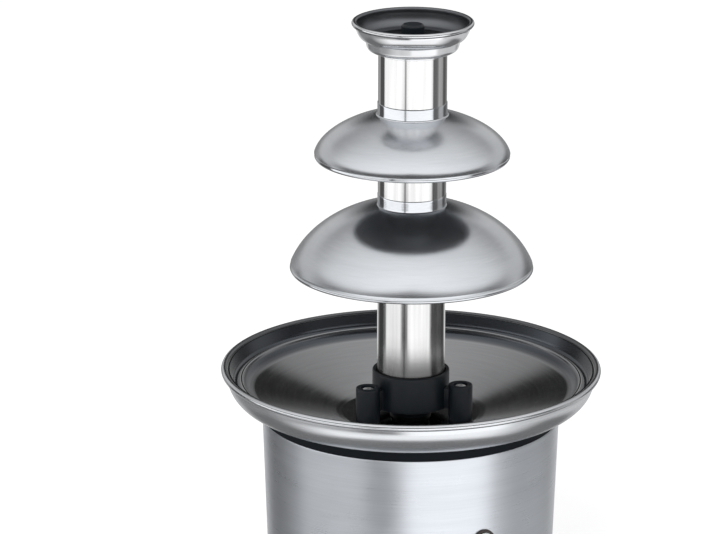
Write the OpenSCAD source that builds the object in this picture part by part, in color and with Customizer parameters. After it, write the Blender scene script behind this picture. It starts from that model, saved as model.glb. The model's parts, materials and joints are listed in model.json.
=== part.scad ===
// Table-top chocolate fountain: a screw in a steel tube lifts melted chocolate from a heated
// bowl to a crown cup, and it runs back down over two domed tiers. Millimetres, +Z up, the
// origin on the table under the middle of the base, the controls towards -Y.

/* [Base] */
// Height of a rubber foot
foot_h = 6; // [4:0.5:10]
// Diameter of a rubber foot
foot_d = 18; // [14:1:22]
// Distance of the feet's centres from the pan's edge
foot_in = 16; // [13:0.5:24]
// Height of the pan's edge under the steel shell
pan_edge_h = 6; // [5:0.5:9]
// Thickness of the pan's floor
pan_t = 3; // [2:0.5:4]
// Height of the steel shell
shell_h = 113; // [106:1:130]
// Outer diameter of the shell at its top edge
shell_d = 188; // [182:0.2:196]
// Lean of the shell's side from upright, narrower downwards
shell_lean = 2.05; // [0:0.01:3]
// Sheet thickness of the shell
shell_t = 0.8; // [0.6:0.1:1.2]
// Visible height of the black ring between shell and bowl
ring_h = 7.2; // [6:0.2:12]
// Wall of the black ring
ring_wall = 5; // [3.5:0.5:6]
// Depth of the ring's spigot inside the shell
spigot_h = 10; // [9:0.5:12]
// Thickness of the ring's inner flange
flange_t = 3; // [2:0.5:4]
// Thickness of the chassis plate
chassis_t = 1.5; // [1:0.1:2.5]
// Gap between the ring's flange and the chassis plate
chassis_drop = 6.5; // [5:0.5:8]
// Distance of the tie pillars from the pan's edge
pillar_in = 18; // [15:0.5:22]
// Diameter of a tie pillar
pillar_d = 10; // [8:0.5:12]
// Width that the ring's bosses and flange leave round a tie pillar
boss_wall = 1; // [0.8:0.1:1.5]

/* [Bowl] */
// Overall diameter of the bowl
bowl_d = 240; // [230:1:252]
// Height of the bowl over the black ring
bowl_h = 24.8; // [22:0.2:30]
// Radius of the rolled rim
bead_r = 2; // [1.6:0.1:2.6]
// Radius of the skirt's lower corner
skirt_round = 20; // [14:0.5:21]
// How far the skirt's side stands in from the rim
skirt_in = 3.6; // [3.4:0.1:6]
// Sheet thickness of the skirt
skirt_t = 0.8; // [0.6:0.1:1]
// Sheet thickness of the dish
dish_t = 1.2; // [0.8:0.1:1.6]
// Radius of the flat middle of the dish
floor_r = 43; // [42:0.5:46]
// Height of the flat middle under the rim's top
floor_depth = 31.1; // [29:0.1:32]
// Height of the sloped floor's outer edge under the rim's top
slope_depth = 14.5; // [12:0.1:16]
// Distance of the sloped floor's outer edge from the rim
slope_in = 21; // [18:0.5:24]
// Distance of the pouring groove from the rim
groove_in = 9.7; // [8.8:0.1:10.5]
// Depth of the groove's centre under the rim's top
groove_depth = 8.4; // [7:0.1:9]
// Radius of the groove
groove_r = 1.6; // [1.2:0.1:2]

/* [Stand] */
// Outer diameter of the collar
collar_d = 48.7; // [47:0.1:52]
// Height of the collar
collar_h = 23; // [18:0.5:28]
// Gap under the collar, where the chocolate runs in
inlet_gap = 5.9; // [4.5:0.1:8]
// Height of the seat inside the collar
seat_h = 4; // [3:0.5:6]
// Diameter of a post
post_d = 15.2; // [13:0.2:16]
// Height of a post
post_h = 22.8; // [18:0.2:26]
// Distance of the posts from the axis
post_at = 33.9; // [33:0.1:35]
// Direction of the first post, from +X
post_turn = -43.4; // [-60:0.1:60]
// Thickness of the web between post and collar
web_t = 7; // [4:0.5:9]
// Diameter of the screw recess in a post
recess_d = 9; // [8.6:0.1:10]
// Depth of the screw recess
recess_h = 4.2; // [3.4:0.1:6]

/* [Tower] */
// Outer diameter of the tube
tube_d = 42.3; // [40:0.1:44]
// Wall of the tube
tube_t = 1.1; // [0.8:0.1:1.4]
// Length of the tube
tube_len = 226.4; // [210:0.2:240]
// Sheet thickness of the tiers and the crown
tier_t = 0.8; // [0.6:0.1:0.9]
// Radius of a tier's rolled edge
hem_r = 1.2; // [1:0.1:1.6]
// Diameter of the lower tier
lower_d = 154; // [140:0.2:164]
// Rise of the lower tier's dome over its edge
lower_rise = 43; // [36:0.1:46]
// How far the lower dome's widest ring lies under its edge
lower_tuck = 14; // [8:0.5:16]
// Fullness of the lower dome's curve, where 2 is an ellipse
lower_full = 2; // [1.6:0.05:2.4]
// Height of the lower tier's edge over the tube's foot
lower_at = 86.1; // [80:0.1:92]
// Length of the lower tier's neck on the tube
lower_neck = 6.9; // [4:0.1:9]
// Fillet between the lower tier and its neck
lower_fillet = 0.5; // [0.5:0.1:4]
// Diameter of the upper tier
upper_d = 123; // [110:0.2:132]
// Rise of the upper tier's dome over its edge
upper_rise = 29.4; // [24:0.1:33]
// How far the upper dome's widest ring lies under its edge
upper_tuck = 0.5; // [0.5:0.5:5]
// Fullness of the upper dome's curve, where 2 is an ellipse
upper_full = 1.75; // [1.6:0.05:2.4]
// Height of the upper tier's edge over the tube's foot
upper_at = 159; // [154:0.1:165]
// Length of the upper tier's neck on the tube
upper_neck = 6.6; // [4:0.1:9]
// Fillet between the upper tier and its neck
upper_fillet = 3.4; // [0.5:0.1:4]
// Diameter of the crown over its rolled lip
crown_d = 76; // [72:0.2:82]
// Height of the crown over its neck's foot
crown_h = 20.3; // [19:0.1:22]
// Length of the crown's neck on the tube
crown_neck_h = 1.5; // [1:0.1:3]
// Radius of the crown's lower step
crown_step_r = 28.8; // [27:0.1:29.5]
// Height of the crown's lower step
crown_step_h = 8.3; // [7.5:0.1:9.5]
// Outer radius of the crown's rolled lip
crown_lip_r = 1.1; // [1:0.1:1.6]

/* [Auger] */
// Diameter of the auger's core
core_d = 14.5; // [13:0.1:16]
// Gap between the flight and the tube
flight_gap = 0.5; // [0.4:0.1:1]
// Pitch of the flight
flight_pitch = 34; // [26:1:44]
// Thickness of the flight along the axis
flight_t = 3; // [2:0.5:5]
// Length of the core over the top of the tube
tip_h = 16.2; // [12:0.2:18]
// Diameter of the auger's socketed foot
foot_hub_d = 24; // [22:0.5:28]
// Height of the auger's socketed foot
foot_hub_h = 14; // [12:0.5:18]
// Depth of the drive socket
socket_h = 10; // [7:0.5:11]

/* [Drive] */
// Diameter of the drive shaft
shaft_d = 6; // [5:0.1:7]
// Width over flats of the hexagonal drive head
hex_w = 14; // [12:0.5:15]
// Diameter of the drive head's shoulder
shoulder_d = 22; // [20:0.5:25]
// Thickness of the drive head's shoulder
shoulder_h = 2; // [1.5:0.5:3]
// Height of the drive head's shoulder over the dish's floor
shoulder_at = 3.3; // [3.3:0.1:5]
// Outer diameter of the shaft's bush
bush_d = 16; // [14:0.5:18]
// Diameter of the bush's flange
bush_flange_d = 26; // [24:0.5:30]
// Thickness of the bush's flange
bush_flange_t = 2; // [1.5:0.5:2.5]
// Outer diameter of the shaft seal
seal_d = 12; // [11:0.5:13]
// Height of the shaft seal
seal_h = 4; // [3:0.5:6]
// Height of the bush's nut
bush_nut_h = 5; // [4:0.5:6]
// Width over flats of the bush's nut
bush_nut_w = 24; // [22:0.5:27]
// Tooth size of the gears
gear_module = 1; // [0.9:0.02:1.1]
// Teeth of the output gear
gear_teeth = 48; // [40:4:52]
// Teeth of the motor's pinion
pinion_teeth = 12; // [10:2:16]
// Face width of the output gear
gear_w = 8; // [6:0.5:10]
// Free play between the teeth
backlash = 0.24; // [0.1:0.02:0.4]
// Diameter of the output gear's hub
gear_hub_d = 16; // [13:0.5:20]
// Inner height of the gearbox
gearbox_h = 21; // [18:0.5:24]
// Wall of the gearbox
gearbox_wall = 2.5; // [2:0.5:4]
// Thickness of the gearbox's floor and cover
gearbox_t = 3; // [2.5:0.5:4]
// Room around the gears in the gearbox
gear_room = 1.6; // [1.2:0.1:2]
// Diameter of the gearbox's screw ears
ear_d = 9; // [8.4:0.1:10]
// Thickness of the case's screw ears
ear_t = 4; // [3:0.5:5]

/* [Motor] */
// Diameter of the motor's can
can_d = 38; // [34:0.5:40]
// Length of the motor's can
can_h = 47; // [42:0.5:54]
// Wall of the motor's can
can_t = 1.2; // [1:0.1:1.6]
// Diameter of the motor's shaft
motor_shaft_d = 3.2; // [3:0.1:4]
// Diameter of the armature
armature_d = 27; // [22:0.5:28]
// Length of the armature's core
armature_h = 26; // [20:0.5:30]
// Thickness of the magnets
magnet_t = 3.2; // [2:0.1:3.2]
// Thickness of the motor's end cap
cap_t = 4; // [3:0.5:6]
// Diameter of the commutator
commutator_d = 9; // [7:0.5:11]
// Length of the commutator
commutator_h = 7; // [5:0.5:8]

/* [Heater] */
// Distance of the heater plate's outer edge from the line of the pan's edge
heater_edge = 14; // [12:0.5:16]
// Width of the heater plate's ring
heater_w = 28; // [26:0.5:30]
// Height of the heater plate's underside under the flat floor
heater_drop = 3.1; // [2.5:0.1:4]
// Diameter of the heating tube
element_d = 6.4; // [5:0.1:7]
// Distance of the heating tube from the heater plate's outer edge
element_in = 6; // [5:0.5:7]
// How much of a turn the heating tube makes
element_turn = 330; // [300:5:340]
// Diameter of the thermostat
thermostat_d = 13; // [11:0.5:13]
// Height of the thermostat
thermostat_h = 7; // [5:0.5:8]
// Diameter of the thermal fuse
fuse_d = 4; // [3:0.2:4.6]
// Length of the thermal fuse
fuse_len = 14; // [11:0.5:18]

/* [Controls] */
// Depth of the buttons' middle under the shell's top edge
button_drop = 56.9; // [50:0.1:62]
// Angle of each button from the front
button_turn = 8.8; // [8.2:0.1:12]
// Diameter of a button
button_d = 12.8; // [11:0.1:13.2]
// Travel of a button
button_travel = 2.5; // [1.5:0.1:3]
// How far a button stands out of its bezel
button_proud = 0.7; // [0.3:0.1:1.5]
// Outer diameter of a bezel
bezel_d = 16; // [15.6:0.1:18]
// How far a bezel stands out of the shell
bezel_proud = 1.6; // [1.2:0.1:2.4]
// Wall of a bezel's neck
bezel_wall = 0.8; // [0.6:0.1:1]
// Length of a bezel's neck inside the shell
bezel_neck = 12; // [10:0.5:14]
// Width and height of a switch
switch_w = 15; // [12:0.5:16]
// Depth of a switch
switch_deep = 24; // [18:0.5:28]
// Diameter of a button's stem
stem_d = 5; // [4:0.5:6]
// Height of the cord gland over the pan's floor
gland_at = 20; // [18:0.5:28]
// Diameter of the cord gland's flange
gland_d = 18; // [16:0.5:20]
// Bore of the cord gland
gland_bore = 7.2; // [6:0.2:8]
// Length of the terminal block
block_len = 30; // [24:1:36]
// Width of the terminal block
block_w = 14; // [12:0.5:18]
// Height of the terminal block
block_h = 15; // [12:0.5:18]

/* [Fits] */
// Radial clearance of a turning shaft
running = 0.05; // [0.02:0.01:0.08]
// Radial clearance of a sliding fit
sliding = 0.1; // [0.05:0.01:0.2]
// Clearance between pieces that only lie side by side
loose = 0.3; // [0.2:0.05:0.4]
// Gap between curved faces that lie on each other
seated = 0.05; // [0.02:0.01:0.1]
// Diameter of the small screws
screw_d = 4; // [3:0.1:4]

/* [Hidden] */
$fn = 96;
eps = 0.01;
arc_steps = 10;

// Heights, from the table up
pan_z = foot_h;
shell_z = pan_z + pan_edge_h;
shell_top = shell_z + shell_h;
ring_top = shell_top + ring_h;
bowl_top = ring_top + bowl_h;
floor_z = bowl_top - floor_depth;
slope_z = bowl_top - slope_depth;
dish_under = floor_z - dish_t;
flange_z = shell_top - spigot_h;
chassis_top = flange_z - chassis_drop;
chassis_z = chassis_top - chassis_t;
collar_z = floor_z + inlet_gap;
seat_z = collar_z + seat_h;
post_top = floor_z + post_h;
tube_top = seat_z + tube_len;
lower_z = seat_z + lower_at;
upper_z = seat_z + upper_at;
crown_z = tube_top - crown_neck_h - tier_t / 2;
tip_z = tube_top + tip_h;
shoulder_z = floor_z + shoulder_at;
auger_z = shoulder_z + shoulder_h;
heater_z = floor_z - heater_drop;
button_z = shell_top - button_drop;
gland_z = pan_z + pan_t + gland_at;

// Radii
tube_r = tube_d / 2;
tube_in = tube_r - tube_t;
flight_r = tube_in - flight_gap;
rim_r = bowl_d / 2;
slope_r = rim_r - slope_in;
skirt_r = rim_r - skirt_in;
lean = tan(shell_lean);
pan_r = shell_d / 2 - shell_h * lean;
foot_at = pan_r - foot_in;
pillar_at = pan_r - pillar_in;
heater_out = pan_r - heater_edge;
heater_in = heater_out - heater_w;
element_at = heater_out - element_in;
// The skirt's lower corner ends over the ring
skirt_corner = min(skirt_round, skirt_r - shell_d / 2);
slope = atan((slope_z - floor_z) / (slope_r - floor_r));

// Gear train: the pinion turns behind the output gear
gear_gap = gear_module * (gear_teeth + pinion_teeth) / 2;
gear_tip = gear_module * (gear_teeth / 2 + 0.75);
pinion_tip = gear_module * (pinion_teeth / 2 + 0.75);
cover_z = chassis_z - gearbox_t;
case_z = cover_z - gearbox_h - gearbox_t;
gear_mid = cover_z - gearbox_h / 2;
gearbox_y = (gear_gap + pinion_tip - gear_tip) / 2;
gearbox_in = (gear_gap + pinion_tip + gear_tip) / 2 + gear_room;
gearbox_r = gearbox_in + gearbox_wall;
ear_at = gearbox_r + screw_d + loose;
ear_turns = [0, 120, 240];
can_z = case_z - can_h;
motor_bottom = can_z - cap_t;
motor_boss_r = 5;
can_lid = 2;
motor_boss_h = 2;
cap_floor = 2;
cap_spigot = 2;
motor_screw_at = 12;
armature_z = can_z + (can_h - armature_h) / 2 + 1;
shaft_foot = 3;
drive_end = case_z - shaft_foot;
case_boss_h = 5;
cover_boss_h = 4;
case_boss_d = gear_hub_d;
hub_play = 0.2;
socket_play = 0.5;
head_cap = 1;
head_top = auger_z + socket_h - socket_play;

// Where the thermostat and the fuse sit, between the plate's inner edge and the heating tube
sensor_at = (heater_in + element_at - element_d / 2) / 2;
element_z = heater_z + 1;
thermostat_turn = 200;
fuse_turn = 330;
fuse_gap = 0.5;
fuse_mid = heater_z - fuse_d / 2 - fuse_gap;

// Shared small pieces
thread_r = screw_d / 2;
head_r = screw_d;
head_h = 0.7 * screw_d;
screw_grip = 8;
rivet_r = thread_r + 1;
small = 0.7;
pillar_turns = [45, 135, 225, 315];
post_turns = [post_turn, post_turn + 120, post_turn + 240];
button_r = button_d / 2;
stem_reach = 4;
neck_r = button_r + sliding + bezel_wall;
gland_neck_r = 6.5;
gland_neck = 14;
gland_proud = 3;
nut_gap = 0.1;

// Radius of the shell's outer side at a height, and the dish's underside at a radius
function shell_r(z) = shell_d / 2 - (shell_top - z) * lean;
function under_z(r) = floor_z + (r - floor_r) * tan(slope) - dish_t / cos(slope);

// Front of the bezels and the inner end of their necks, along each button's axis
bezel_front = shell_r(button_z) + bezel_proud;
neck_back = shell_r(button_z) - bezel_neck;
// Where a flat nut of a given width meets the inside of the round shell
function nut_seat(z, w) = sqrt(pow(shell_r(z) - shell_t, 2) - pow(w, 2) / 3) - w * lean - nut_gap;

// Outlines as points (radius, height)
function arc(mid, r, from, to) = [
    for (i = [0:arc_steps])
        let (a = from + (to - from) * i / arc_steps) mid + r * [cos(a), sin(a)]
];
function back(points) = [for (i = [len(points) - 1:-1:0]) points[i]];
function heading(a, b) = (b - a) / norm(b - a);
function left_of(v) = [-v[1], v[0]];
function edge_side(p, i) = left_of(heading(p[i], p[i + 1]));
function corner_side(p, i) =
    i == 0 ? edge_side(p, 0) :
    i == len(p) - 1 ? edge_side(p, i - 1) :
    let (a = edge_side(p, i - 1), b = edge_side(p, i)) (a + b) / (1 + a * b);
function distinct(p) = [for (i = [0:len(p) - 1]) if (i == 0 || norm(p[i] - p[i - 1]) > eps) p[i]];
// A sheet of thickness t on the left of an outline
function sheet(outline, t) =
    let (p = distinct(outline))
    concat(p, back([for (i = [0:len(p) - 1]) p[i] + t * corner_side(p, i)]));

// A dome with a rolled edge and a neck, its outer side
function dome(edge_r, edge_z, rise, tuck, full, grip_r, neck, fillet) =
    let (
        b = rise + tuck,
        a = edge_r / pow(1 - pow(tuck / b, full), 1 / full),
        low = asin(pow(tuck / b, full / 2)),
        high = acos(pow((grip_r + fillet) / a, full / 2)),
        shoulder = edge_z - tuck + b * pow(sin(high), 2 / full)
    )
    concat(
        arc([edge_r - hem_r, edge_z], hem_r, -180, 0),
        [for (i = [1:2 * arc_steps]) let (t = low + (high - low) * i / (2 * arc_steps))
            [a * pow(cos(t), 2 / full), edge_z - tuck + b * pow(sin(t), 2 / full)]],
        arc([grip_r + fillet, shoulder + fillet], fillet, 255, 180),
        [[grip_r, shoulder + fillet + neck]]
    );

// Involute gear outline with stub teeth
function involute(rb, r) = let (t = sqrt(max(0, pow(r / rb, 2) - 1))) t * 180 / PI - atan(t);
function polar(r, a) = r * [cos(a), sin(a)];
function gear_outline(teeth, m) =
    let (
        rp = m * teeth / 2, rb = rp * cos(20), ra = rp + 0.75 * m, rr = rp - m,
        low = max(rb, rr),
        half = 90 / teeth - backlash / 4 / rp * 180 / PI + involute(rb, rp),
        flank = [for (i = [0:4]) low + (ra - low) * i / 4]
    )
    [for (k = [0:teeth - 1]) let (mid = k * 360 / teeth) each concat(
        [polar(rr, mid - half)],
        [for (r = flank) polar(r, mid - half + involute(rb, r))],
        [for (r = back(flank)) polar(r, mid + half - involute(rb, r))],
        [polar(rr, mid + half)]
    )];

module spun(points) { rotate_extrude() polygon(points); }
module around(turns) { for (a = turns) rotate([0, 0, a]) children(); }
module rod(r, z0, z1) { translate([0, 0, z0]) cylinder(h = z1 - z0, r = r); }
module ring(r_out, r_in, z0, z1) {
    difference() {
        rod(r_out, z0, z1);
        rod(r_in, z0 - 1, z1 + 1);
    }
}
module hexagon(w, z0, z1) { translate([0, 0, z0]) cylinder(h = z1 - z0, r = w / sqrt(3), $fn = 6); }
// A pan head screw pointing down, its head's underside at z = 0
module screw(length) {
    rod(head_r, 0, head_h);
    rod(thread_r, -length, eps);
}
// Stands a piece on a radial axis at the front: +Z becomes the outward direction
module facing_front(turn, z) { rotate([0, 0, turn]) translate([0, 0, z]) rotate([90, 0, 0]) children(); }
module facing_rear(z) { translate([0, 0, z]) rotate([-90, 0, 0]) children(); }
module shell_cone(inset) {
    translate([0, 0, shell_z - 5])
        cylinder(h = shell_h + 5, r1 = shell_r(shell_z - 5) - inset, r2 = shell_d / 2 - inset);
}

// Tower

module tower_tube() { color("silver") ring(tube_r, tube_in, seat_z, tube_top); }

module tier(diameter, edge_z, rise, tuck, full, neck, fillet) {
    outline = dome(diameter / 2, edge_z, rise, tuck, full, tube_r + tier_t, neck, fillet);
    color("lightgray") spun(sheet(outline, tier_t));
}
module lower_tier() {
    tier(lower_d, lower_z, lower_rise, lower_tuck, lower_full, lower_neck, lower_fillet);
}
module upper_tier() {
    tier(upper_d, upper_z, upper_rise, upper_tuck, upper_full, upper_neck, upper_fillet);
}

module crown_cup() {
    grip_r = tube_r + tier_t;
    shelf = crown_z + crown_neck_h;
    neck_ease = 0.4;
    step_round = 3.8;
    step_flare = 0.6;
    step_z = crown_z + crown_step_h;
    curl_in = crown_lip_r - tier_t;
    lip = [crown_d / 2 - crown_lip_r, crown_z + crown_h - crown_lip_r];
    wall_r = lip[0] - curl_in;
    bowl_round = 2;
    wall_flare = 2;
    shelf_rise = 2.4;
    bowl_mid = [wall_r - wall_flare - bowl_round, step_z + shelf_rise + bowl_round];
    color("silver") spun(sheet(concat(
        [[grip_r, crown_z], [grip_r, shelf - neck_ease]],
        arc([crown_step_r - step_round, shelf + step_round], step_round, 285, 352),
        [[crown_step_r + step_flare, step_z]],
        arc(bowl_mid, bowl_round, 275, 345),
        arc(lip, curl_in, 180, -60)
    ), tier_t));
}

// Auger

module auger() {
    hub_top = auger_z + foot_hub_h;
    flight_len = tube_top - auger_z;
    turn = 360 * flight_len / flight_pitch;
    wedge = 360 * flight_t / flight_pitch;
    flight_root = 1.5;
    flight_in = core_d / 2 - flight_root;
    wedge_steps = 6;
    slices = round(turn / 15);
    hub_slope = 4;
    tip_round = 2;
    color("dimgray") difference() {
        union() {
            translate([0, 0, auger_z])
                linear_extrude(
                    height = flight_len, twist = -turn, slices = slices, $fn = 2 * wedge_steps + 2
                )
                    polygon(concat(
                        [for (i = [0:wedge_steps]) polar(flight_r, wedge * i / wedge_steps)],
                        [for (i = [wedge_steps:-1:0]) polar(flight_in, wedge * i / wedge_steps)]
                    ));
            spun(concat(
                [[0, auger_z], [foot_hub_d / 2, auger_z]],
                [[foot_hub_d / 2, hub_top - hub_slope], [core_d / 2, hub_top]],
                arc([core_d / 2 - tip_round, tip_z - tip_round], tip_round, 0, 90),
                [[0, tip_z]]
            ));
        }
        hexagon(hex_w + 2 * sliding, auger_z - 1, auger_z + socket_h);
    }
}

// Bowl

module bowl_skirt() {
    curl_in = bead_r - skirt_t;
    inner_lap = 2;
    bead = [rim_r - bead_r, bowl_top - bead_r];
    color("silver") spun(sheet(concat(
        [[shell_d / 2 - ring_wall - inner_lap, ring_top]],
        arc([skirt_r - skirt_corner, ring_top + skirt_corner], skirt_corner, 270, 360),
        arc(bead, curl_in, 180, -120)
    ), skirt_t));
}

module bowl_dish() {
    groove_tilt = 30;
    ridge_r = 1.2;
    lip_w = 1;
    lip_drop = 1.6;
    lip = [rim_r - 2 * bead_r - 1.5 * loose, bowl_top - lip_drop];
    groove = [rim_r - groove_in, bowl_top - groove_depth];
    ridge = groove - (groove_r + ridge_r) * [cos(groove_tilt), sin(groove_tilt)];
    color([0.12, 0.12, 0.13]) difference() {
        spun(sheet(concat(
            [lip, lip - [lip_w, 0]],
            arc(groove, groove_r, 0, groove_tilt - 180),
            arc(ridge, ridge_r, groove_tilt, 130),
            [[slope_r, slope_z], [floor_r, floor_z], [bush_d / 2, floor_z]]
        ), dish_t));
        around(post_turns) translate([post_at, 0, 0]) rod(thread_r, dish_under - 1, floor_z + 1);
    }
}

// Tower stand on the dish's floor

module tower_stand() {
    web_z = collar_z + 0.6;
    web_top = post_top - 3;
    web_root = 2;
    mouth_h = 2;
    flare = 1;
    color([0.14, 0.15, 0.16]) difference() {
        union() {
            rod(collar_d / 2, collar_z, collar_z + collar_h);
            around(post_turns) {
                translate([post_at, 0, 0]) rod(post_d / 2, floor_z, post_top);
                translate([collar_d / 2 - web_root, -web_t / 2, web_z])
                    cube([post_at - collar_d / 2 + web_root, web_t, web_top - web_z]);
            }
        }
        rod(tube_r + sliding, seat_z, collar_z + collar_h + 1);
        rod(tube_in, collar_z - 1, seat_z + 1);
        translate([0, 0, collar_z + collar_h - mouth_h])
            cylinder(h = mouth_h + eps, r1 = tube_r + sliding, r2 = tube_r + sliding + flare);
        around(post_turns) translate([post_at, 0, 0]) {
            rod(recess_d / 2, post_top - recess_h, post_top + 1);
            rod(thread_r, floor_z - 1, post_top);
        }
    }
}

module stand_screws() {
    drive_w = 2.6;
    drive_deep = 1.4;
    color("silver") around(post_turns) translate([post_at, 0, post_top - recess_h]) difference() {
        screw(post_h - recess_h + dish_t + screw_grip);
        hexagon(drive_w, head_h - drive_deep, head_h + 1);
    }
}

// Threaded pillars on the chassis plate, under the dish
module stand_pillars() {
    wall = 2.5;
    color("gainsboro") around(post_turns) translate([post_at, 0, 0]) difference() {
        union() {
            rod(thread_r + wall, chassis_top, dish_under);
            rod(rivet_r, chassis_z, chassis_top + eps);
        }
        rod(thread_r, dish_under - screw_grip, dish_under + 1);
    }
}

// Drive

module shaft_bush() {
    bush_end = 3;
    bush_len = dish_t + bush_nut_h + bush_end;
    color("peru") difference() {
        union() {
            rod(bush_flange_d / 2, floor_z, floor_z + bush_flange_t);
            rod(bush_d / 2, floor_z - bush_len, floor_z + eps);
        }
        rod(shaft_d / 2 + running, floor_z - bush_len - 1, floor_z + bush_flange_t + 1);
        rod(seal_d / 2, floor_z + bush_flange_t - seal_h, floor_z + bush_flange_t + 1);
    }
}

module bush_nut() {
    color("gainsboro") difference() {
        hexagon(bush_nut_w, dish_under - bush_nut_h, dish_under);
        rod(bush_d / 2, dish_under - bush_nut_h - 1, dish_under + 1);
    }
}

module shaft_seal() {
    lip_h = 1;
    lip_in = 2;
    seal_top = floor_z + bush_flange_t;
    color([0.2, 0.2, 0.2]) difference() {
        union() {
            rod(seal_d / 2, seal_top - seal_h, seal_top);
            rod(seal_d / 2 - lip_in, seal_top - eps, seal_top + lip_h);
        }
        rod(shaft_d / 2 + running, seal_top - seal_h - 1, seal_top + lip_h + 1);
    }
}

module drive_shaft() {
    color("silver") rod(shaft_d / 2, drive_end, head_top - head_cap);
}

module drive_head() {
    color([0.2, 0.2, 0.22]) difference() {
        union() {
            rod(shoulder_d / 2, shoulder_z, auger_z);
            hexagon(hex_w, auger_z - eps, head_top);
        }
        rod(shaft_d / 2, shoulder_z - 1, head_top - head_cap);
    }
}

module output_gear() {
    web_cut = 2;
    rim_w = 5;
    hub_rim = 1.5;
    color("ivory") difference() {
        union() {
            translate([0, 0, gear_mid - gear_w / 2]) linear_extrude(gear_w)
                polygon(gear_outline(gear_teeth, gear_module));
            rod(gear_hub_d / 2, case_z + gearbox_t + hub_play, cover_z - hub_play);
        }
        rod(shaft_d / 2, case_z, cover_z);
        for (z = [gear_mid - gear_w / 2 - 1, gear_mid + gear_w / 2 - web_cut])
            ring(gear_tip - rim_w, gear_hub_d / 2 + hub_rim, z, z + web_cut + 1);
    }
}

module motor_pinion() {
    overlap = 2;
    pinion_w = gear_w + 2 * overlap;
    color("goldenrod") translate([0, gear_gap, gear_mid - pinion_w / 2]) difference() {
        linear_extrude(pinion_w) rotate([0, 0, 90 - 180 / pinion_teeth + 180])
            polygon(gear_outline(pinion_teeth, gear_module));
        rod(motor_shaft_d / 2, -1, pinion_w + 1);
    }
}

module motor_shaft() {
    shaft_end = 2;
    color("silver") translate([0, gear_gap, 0])
        rod(motor_shaft_d / 2, motor_bottom + cap_floor, gear_mid + gear_w / 2 + shaft_end);
}

module armature() {
    poles = 5;
    slot_w = 3;
    slot_deep = 7;
    color("dimgray") translate([0, gear_gap, 0]) difference() {
        rod(armature_d / 2, armature_z, armature_z + armature_h);
        rod(motor_shaft_d / 2, armature_z - 1, armature_z + armature_h + 1);
        for (k = [0:poles - 1]) rotate([0, 0, k * 360 / poles])
            translate([armature_d / 2 - slot_deep, -slot_w / 2, armature_z - 1])
                cube([slot_deep + 1, slot_w, armature_h + 2]);
    }
}

module commutator() {
    color("darkgoldenrod") translate([0, gear_gap, 0])
        ring(commutator_d / 2, motor_shaft_d / 2, armature_z - commutator_h, armature_z);
}

module motor_can() {
    can_r = can_d / 2;
    color("gainsboro") translate([0, gear_gap, 0]) difference() {
        union() {
            rod(can_r, can_z, case_z);
            rod(motor_boss_r, case_z - eps, case_z + motor_boss_h);
        }
        rod(can_r - can_t, can_z - 1, case_z - can_lid);
        rod(motor_shaft_d / 2 + running, can_z, case_z + motor_boss_h + 1);
        around([0, 180]) translate([motor_screw_at, 0, 0]) rod(thread_r * small, can_z, case_z + 1);
    }
}

module motor_magnets() {
    hold_r = can_d / 2 - can_t;
    gap_w = 9;
    color("slategray") translate([0, gear_gap, 0]) difference() {
        ring(hold_r, hold_r - magnet_t, armature_z - 2, armature_z + armature_h + 2);
        translate([-gap_w / 2, -can_d, 0]) cube([gap_w, 2 * can_d, case_z]);
    }
}

module motor_cap() {
    cap_in = can_d / 2 - can_t;
    bearing_wall = 2.5;
    bearing_h = 3;
    color([0.85, 0.85, 0.8]) translate([0, gear_gap, 0]) difference() {
        union() {
            rod(can_d / 2, motor_bottom, can_z);
            rod(cap_in, can_z - eps, can_z + cap_spigot);
            rod(motor_shaft_d / 2 + bearing_wall, can_z, can_z + bearing_h);
        }
        rod(motor_shaft_d / 2 + running, motor_bottom + cap_floor, can_z + bearing_h + 1);
    }
}

// Two carbon brushes, standing on the motor's end cap
module motor_brushes() {
    brush_w = 3;
    brush_len = 5;
    brush_in = commutator_d / 2 + running;
    color([0.25, 0.25, 0.27]) translate([0, gear_gap, 0]) around([0, 180])
        translate([brush_in, -brush_w / 2, can_z + cap_spigot])
            cube([brush_len, brush_w, armature_z - can_z - cap_spigot - commutator_h / 3]);
}

module motor_screws() {
    color("silver") translate([0, gear_gap, case_z + gearbox_t]) around([0, 180])
        translate([motor_screw_at, 0, 0]) {
            rod(head_r * small, 0, head_h * small);
            rod(thread_r * small, -gearbox_t - can_lid, eps);
        }
}

module gearbox_ears(z0, z1) {
    translate([0, gearbox_y, 0]) around(ear_turns) {
        translate([ear_at, 0, 0]) rod(ear_d / 2, z0, z1);
        translate([gearbox_r - 2, -ear_d / 2, z0]) cube([ear_at - gearbox_r + 2, ear_d, z1 - z0]);
    }
}
module gearbox_ear_holes(z0, z1) {
    translate([0, gearbox_y, 0]) around(ear_turns) translate([ear_at, 0, 0]) rod(thread_r, z0, z1);
}

module gearbox_case() {
    color("lightgray") difference() {
        union() {
            translate([0, gearbox_y, 0]) rod(gearbox_r, case_z, cover_z);
            gearbox_ears(cover_z - ear_t, cover_z);
            rod(case_boss_d / 2, case_z - case_boss_h, case_z + eps);
        }
        translate([0, gearbox_y, 0]) rod(gearbox_in, case_z + gearbox_t, cover_z + 1);
        rod(shaft_d / 2 + running, drive_end - hub_play, cover_z);
        translate([0, gear_gap, 0]) {
            rod(motor_boss_r, case_z - 1, case_z + gearbox_t + 1);
            around([0, 180]) translate([motor_screw_at, 0, 0])
                rod(thread_r * small, case_z - 1, case_z + gearbox_t + 1);
        }
        gearbox_ear_holes(cover_z - ear_t - 1, cover_z + 1);
    }
}

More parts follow.
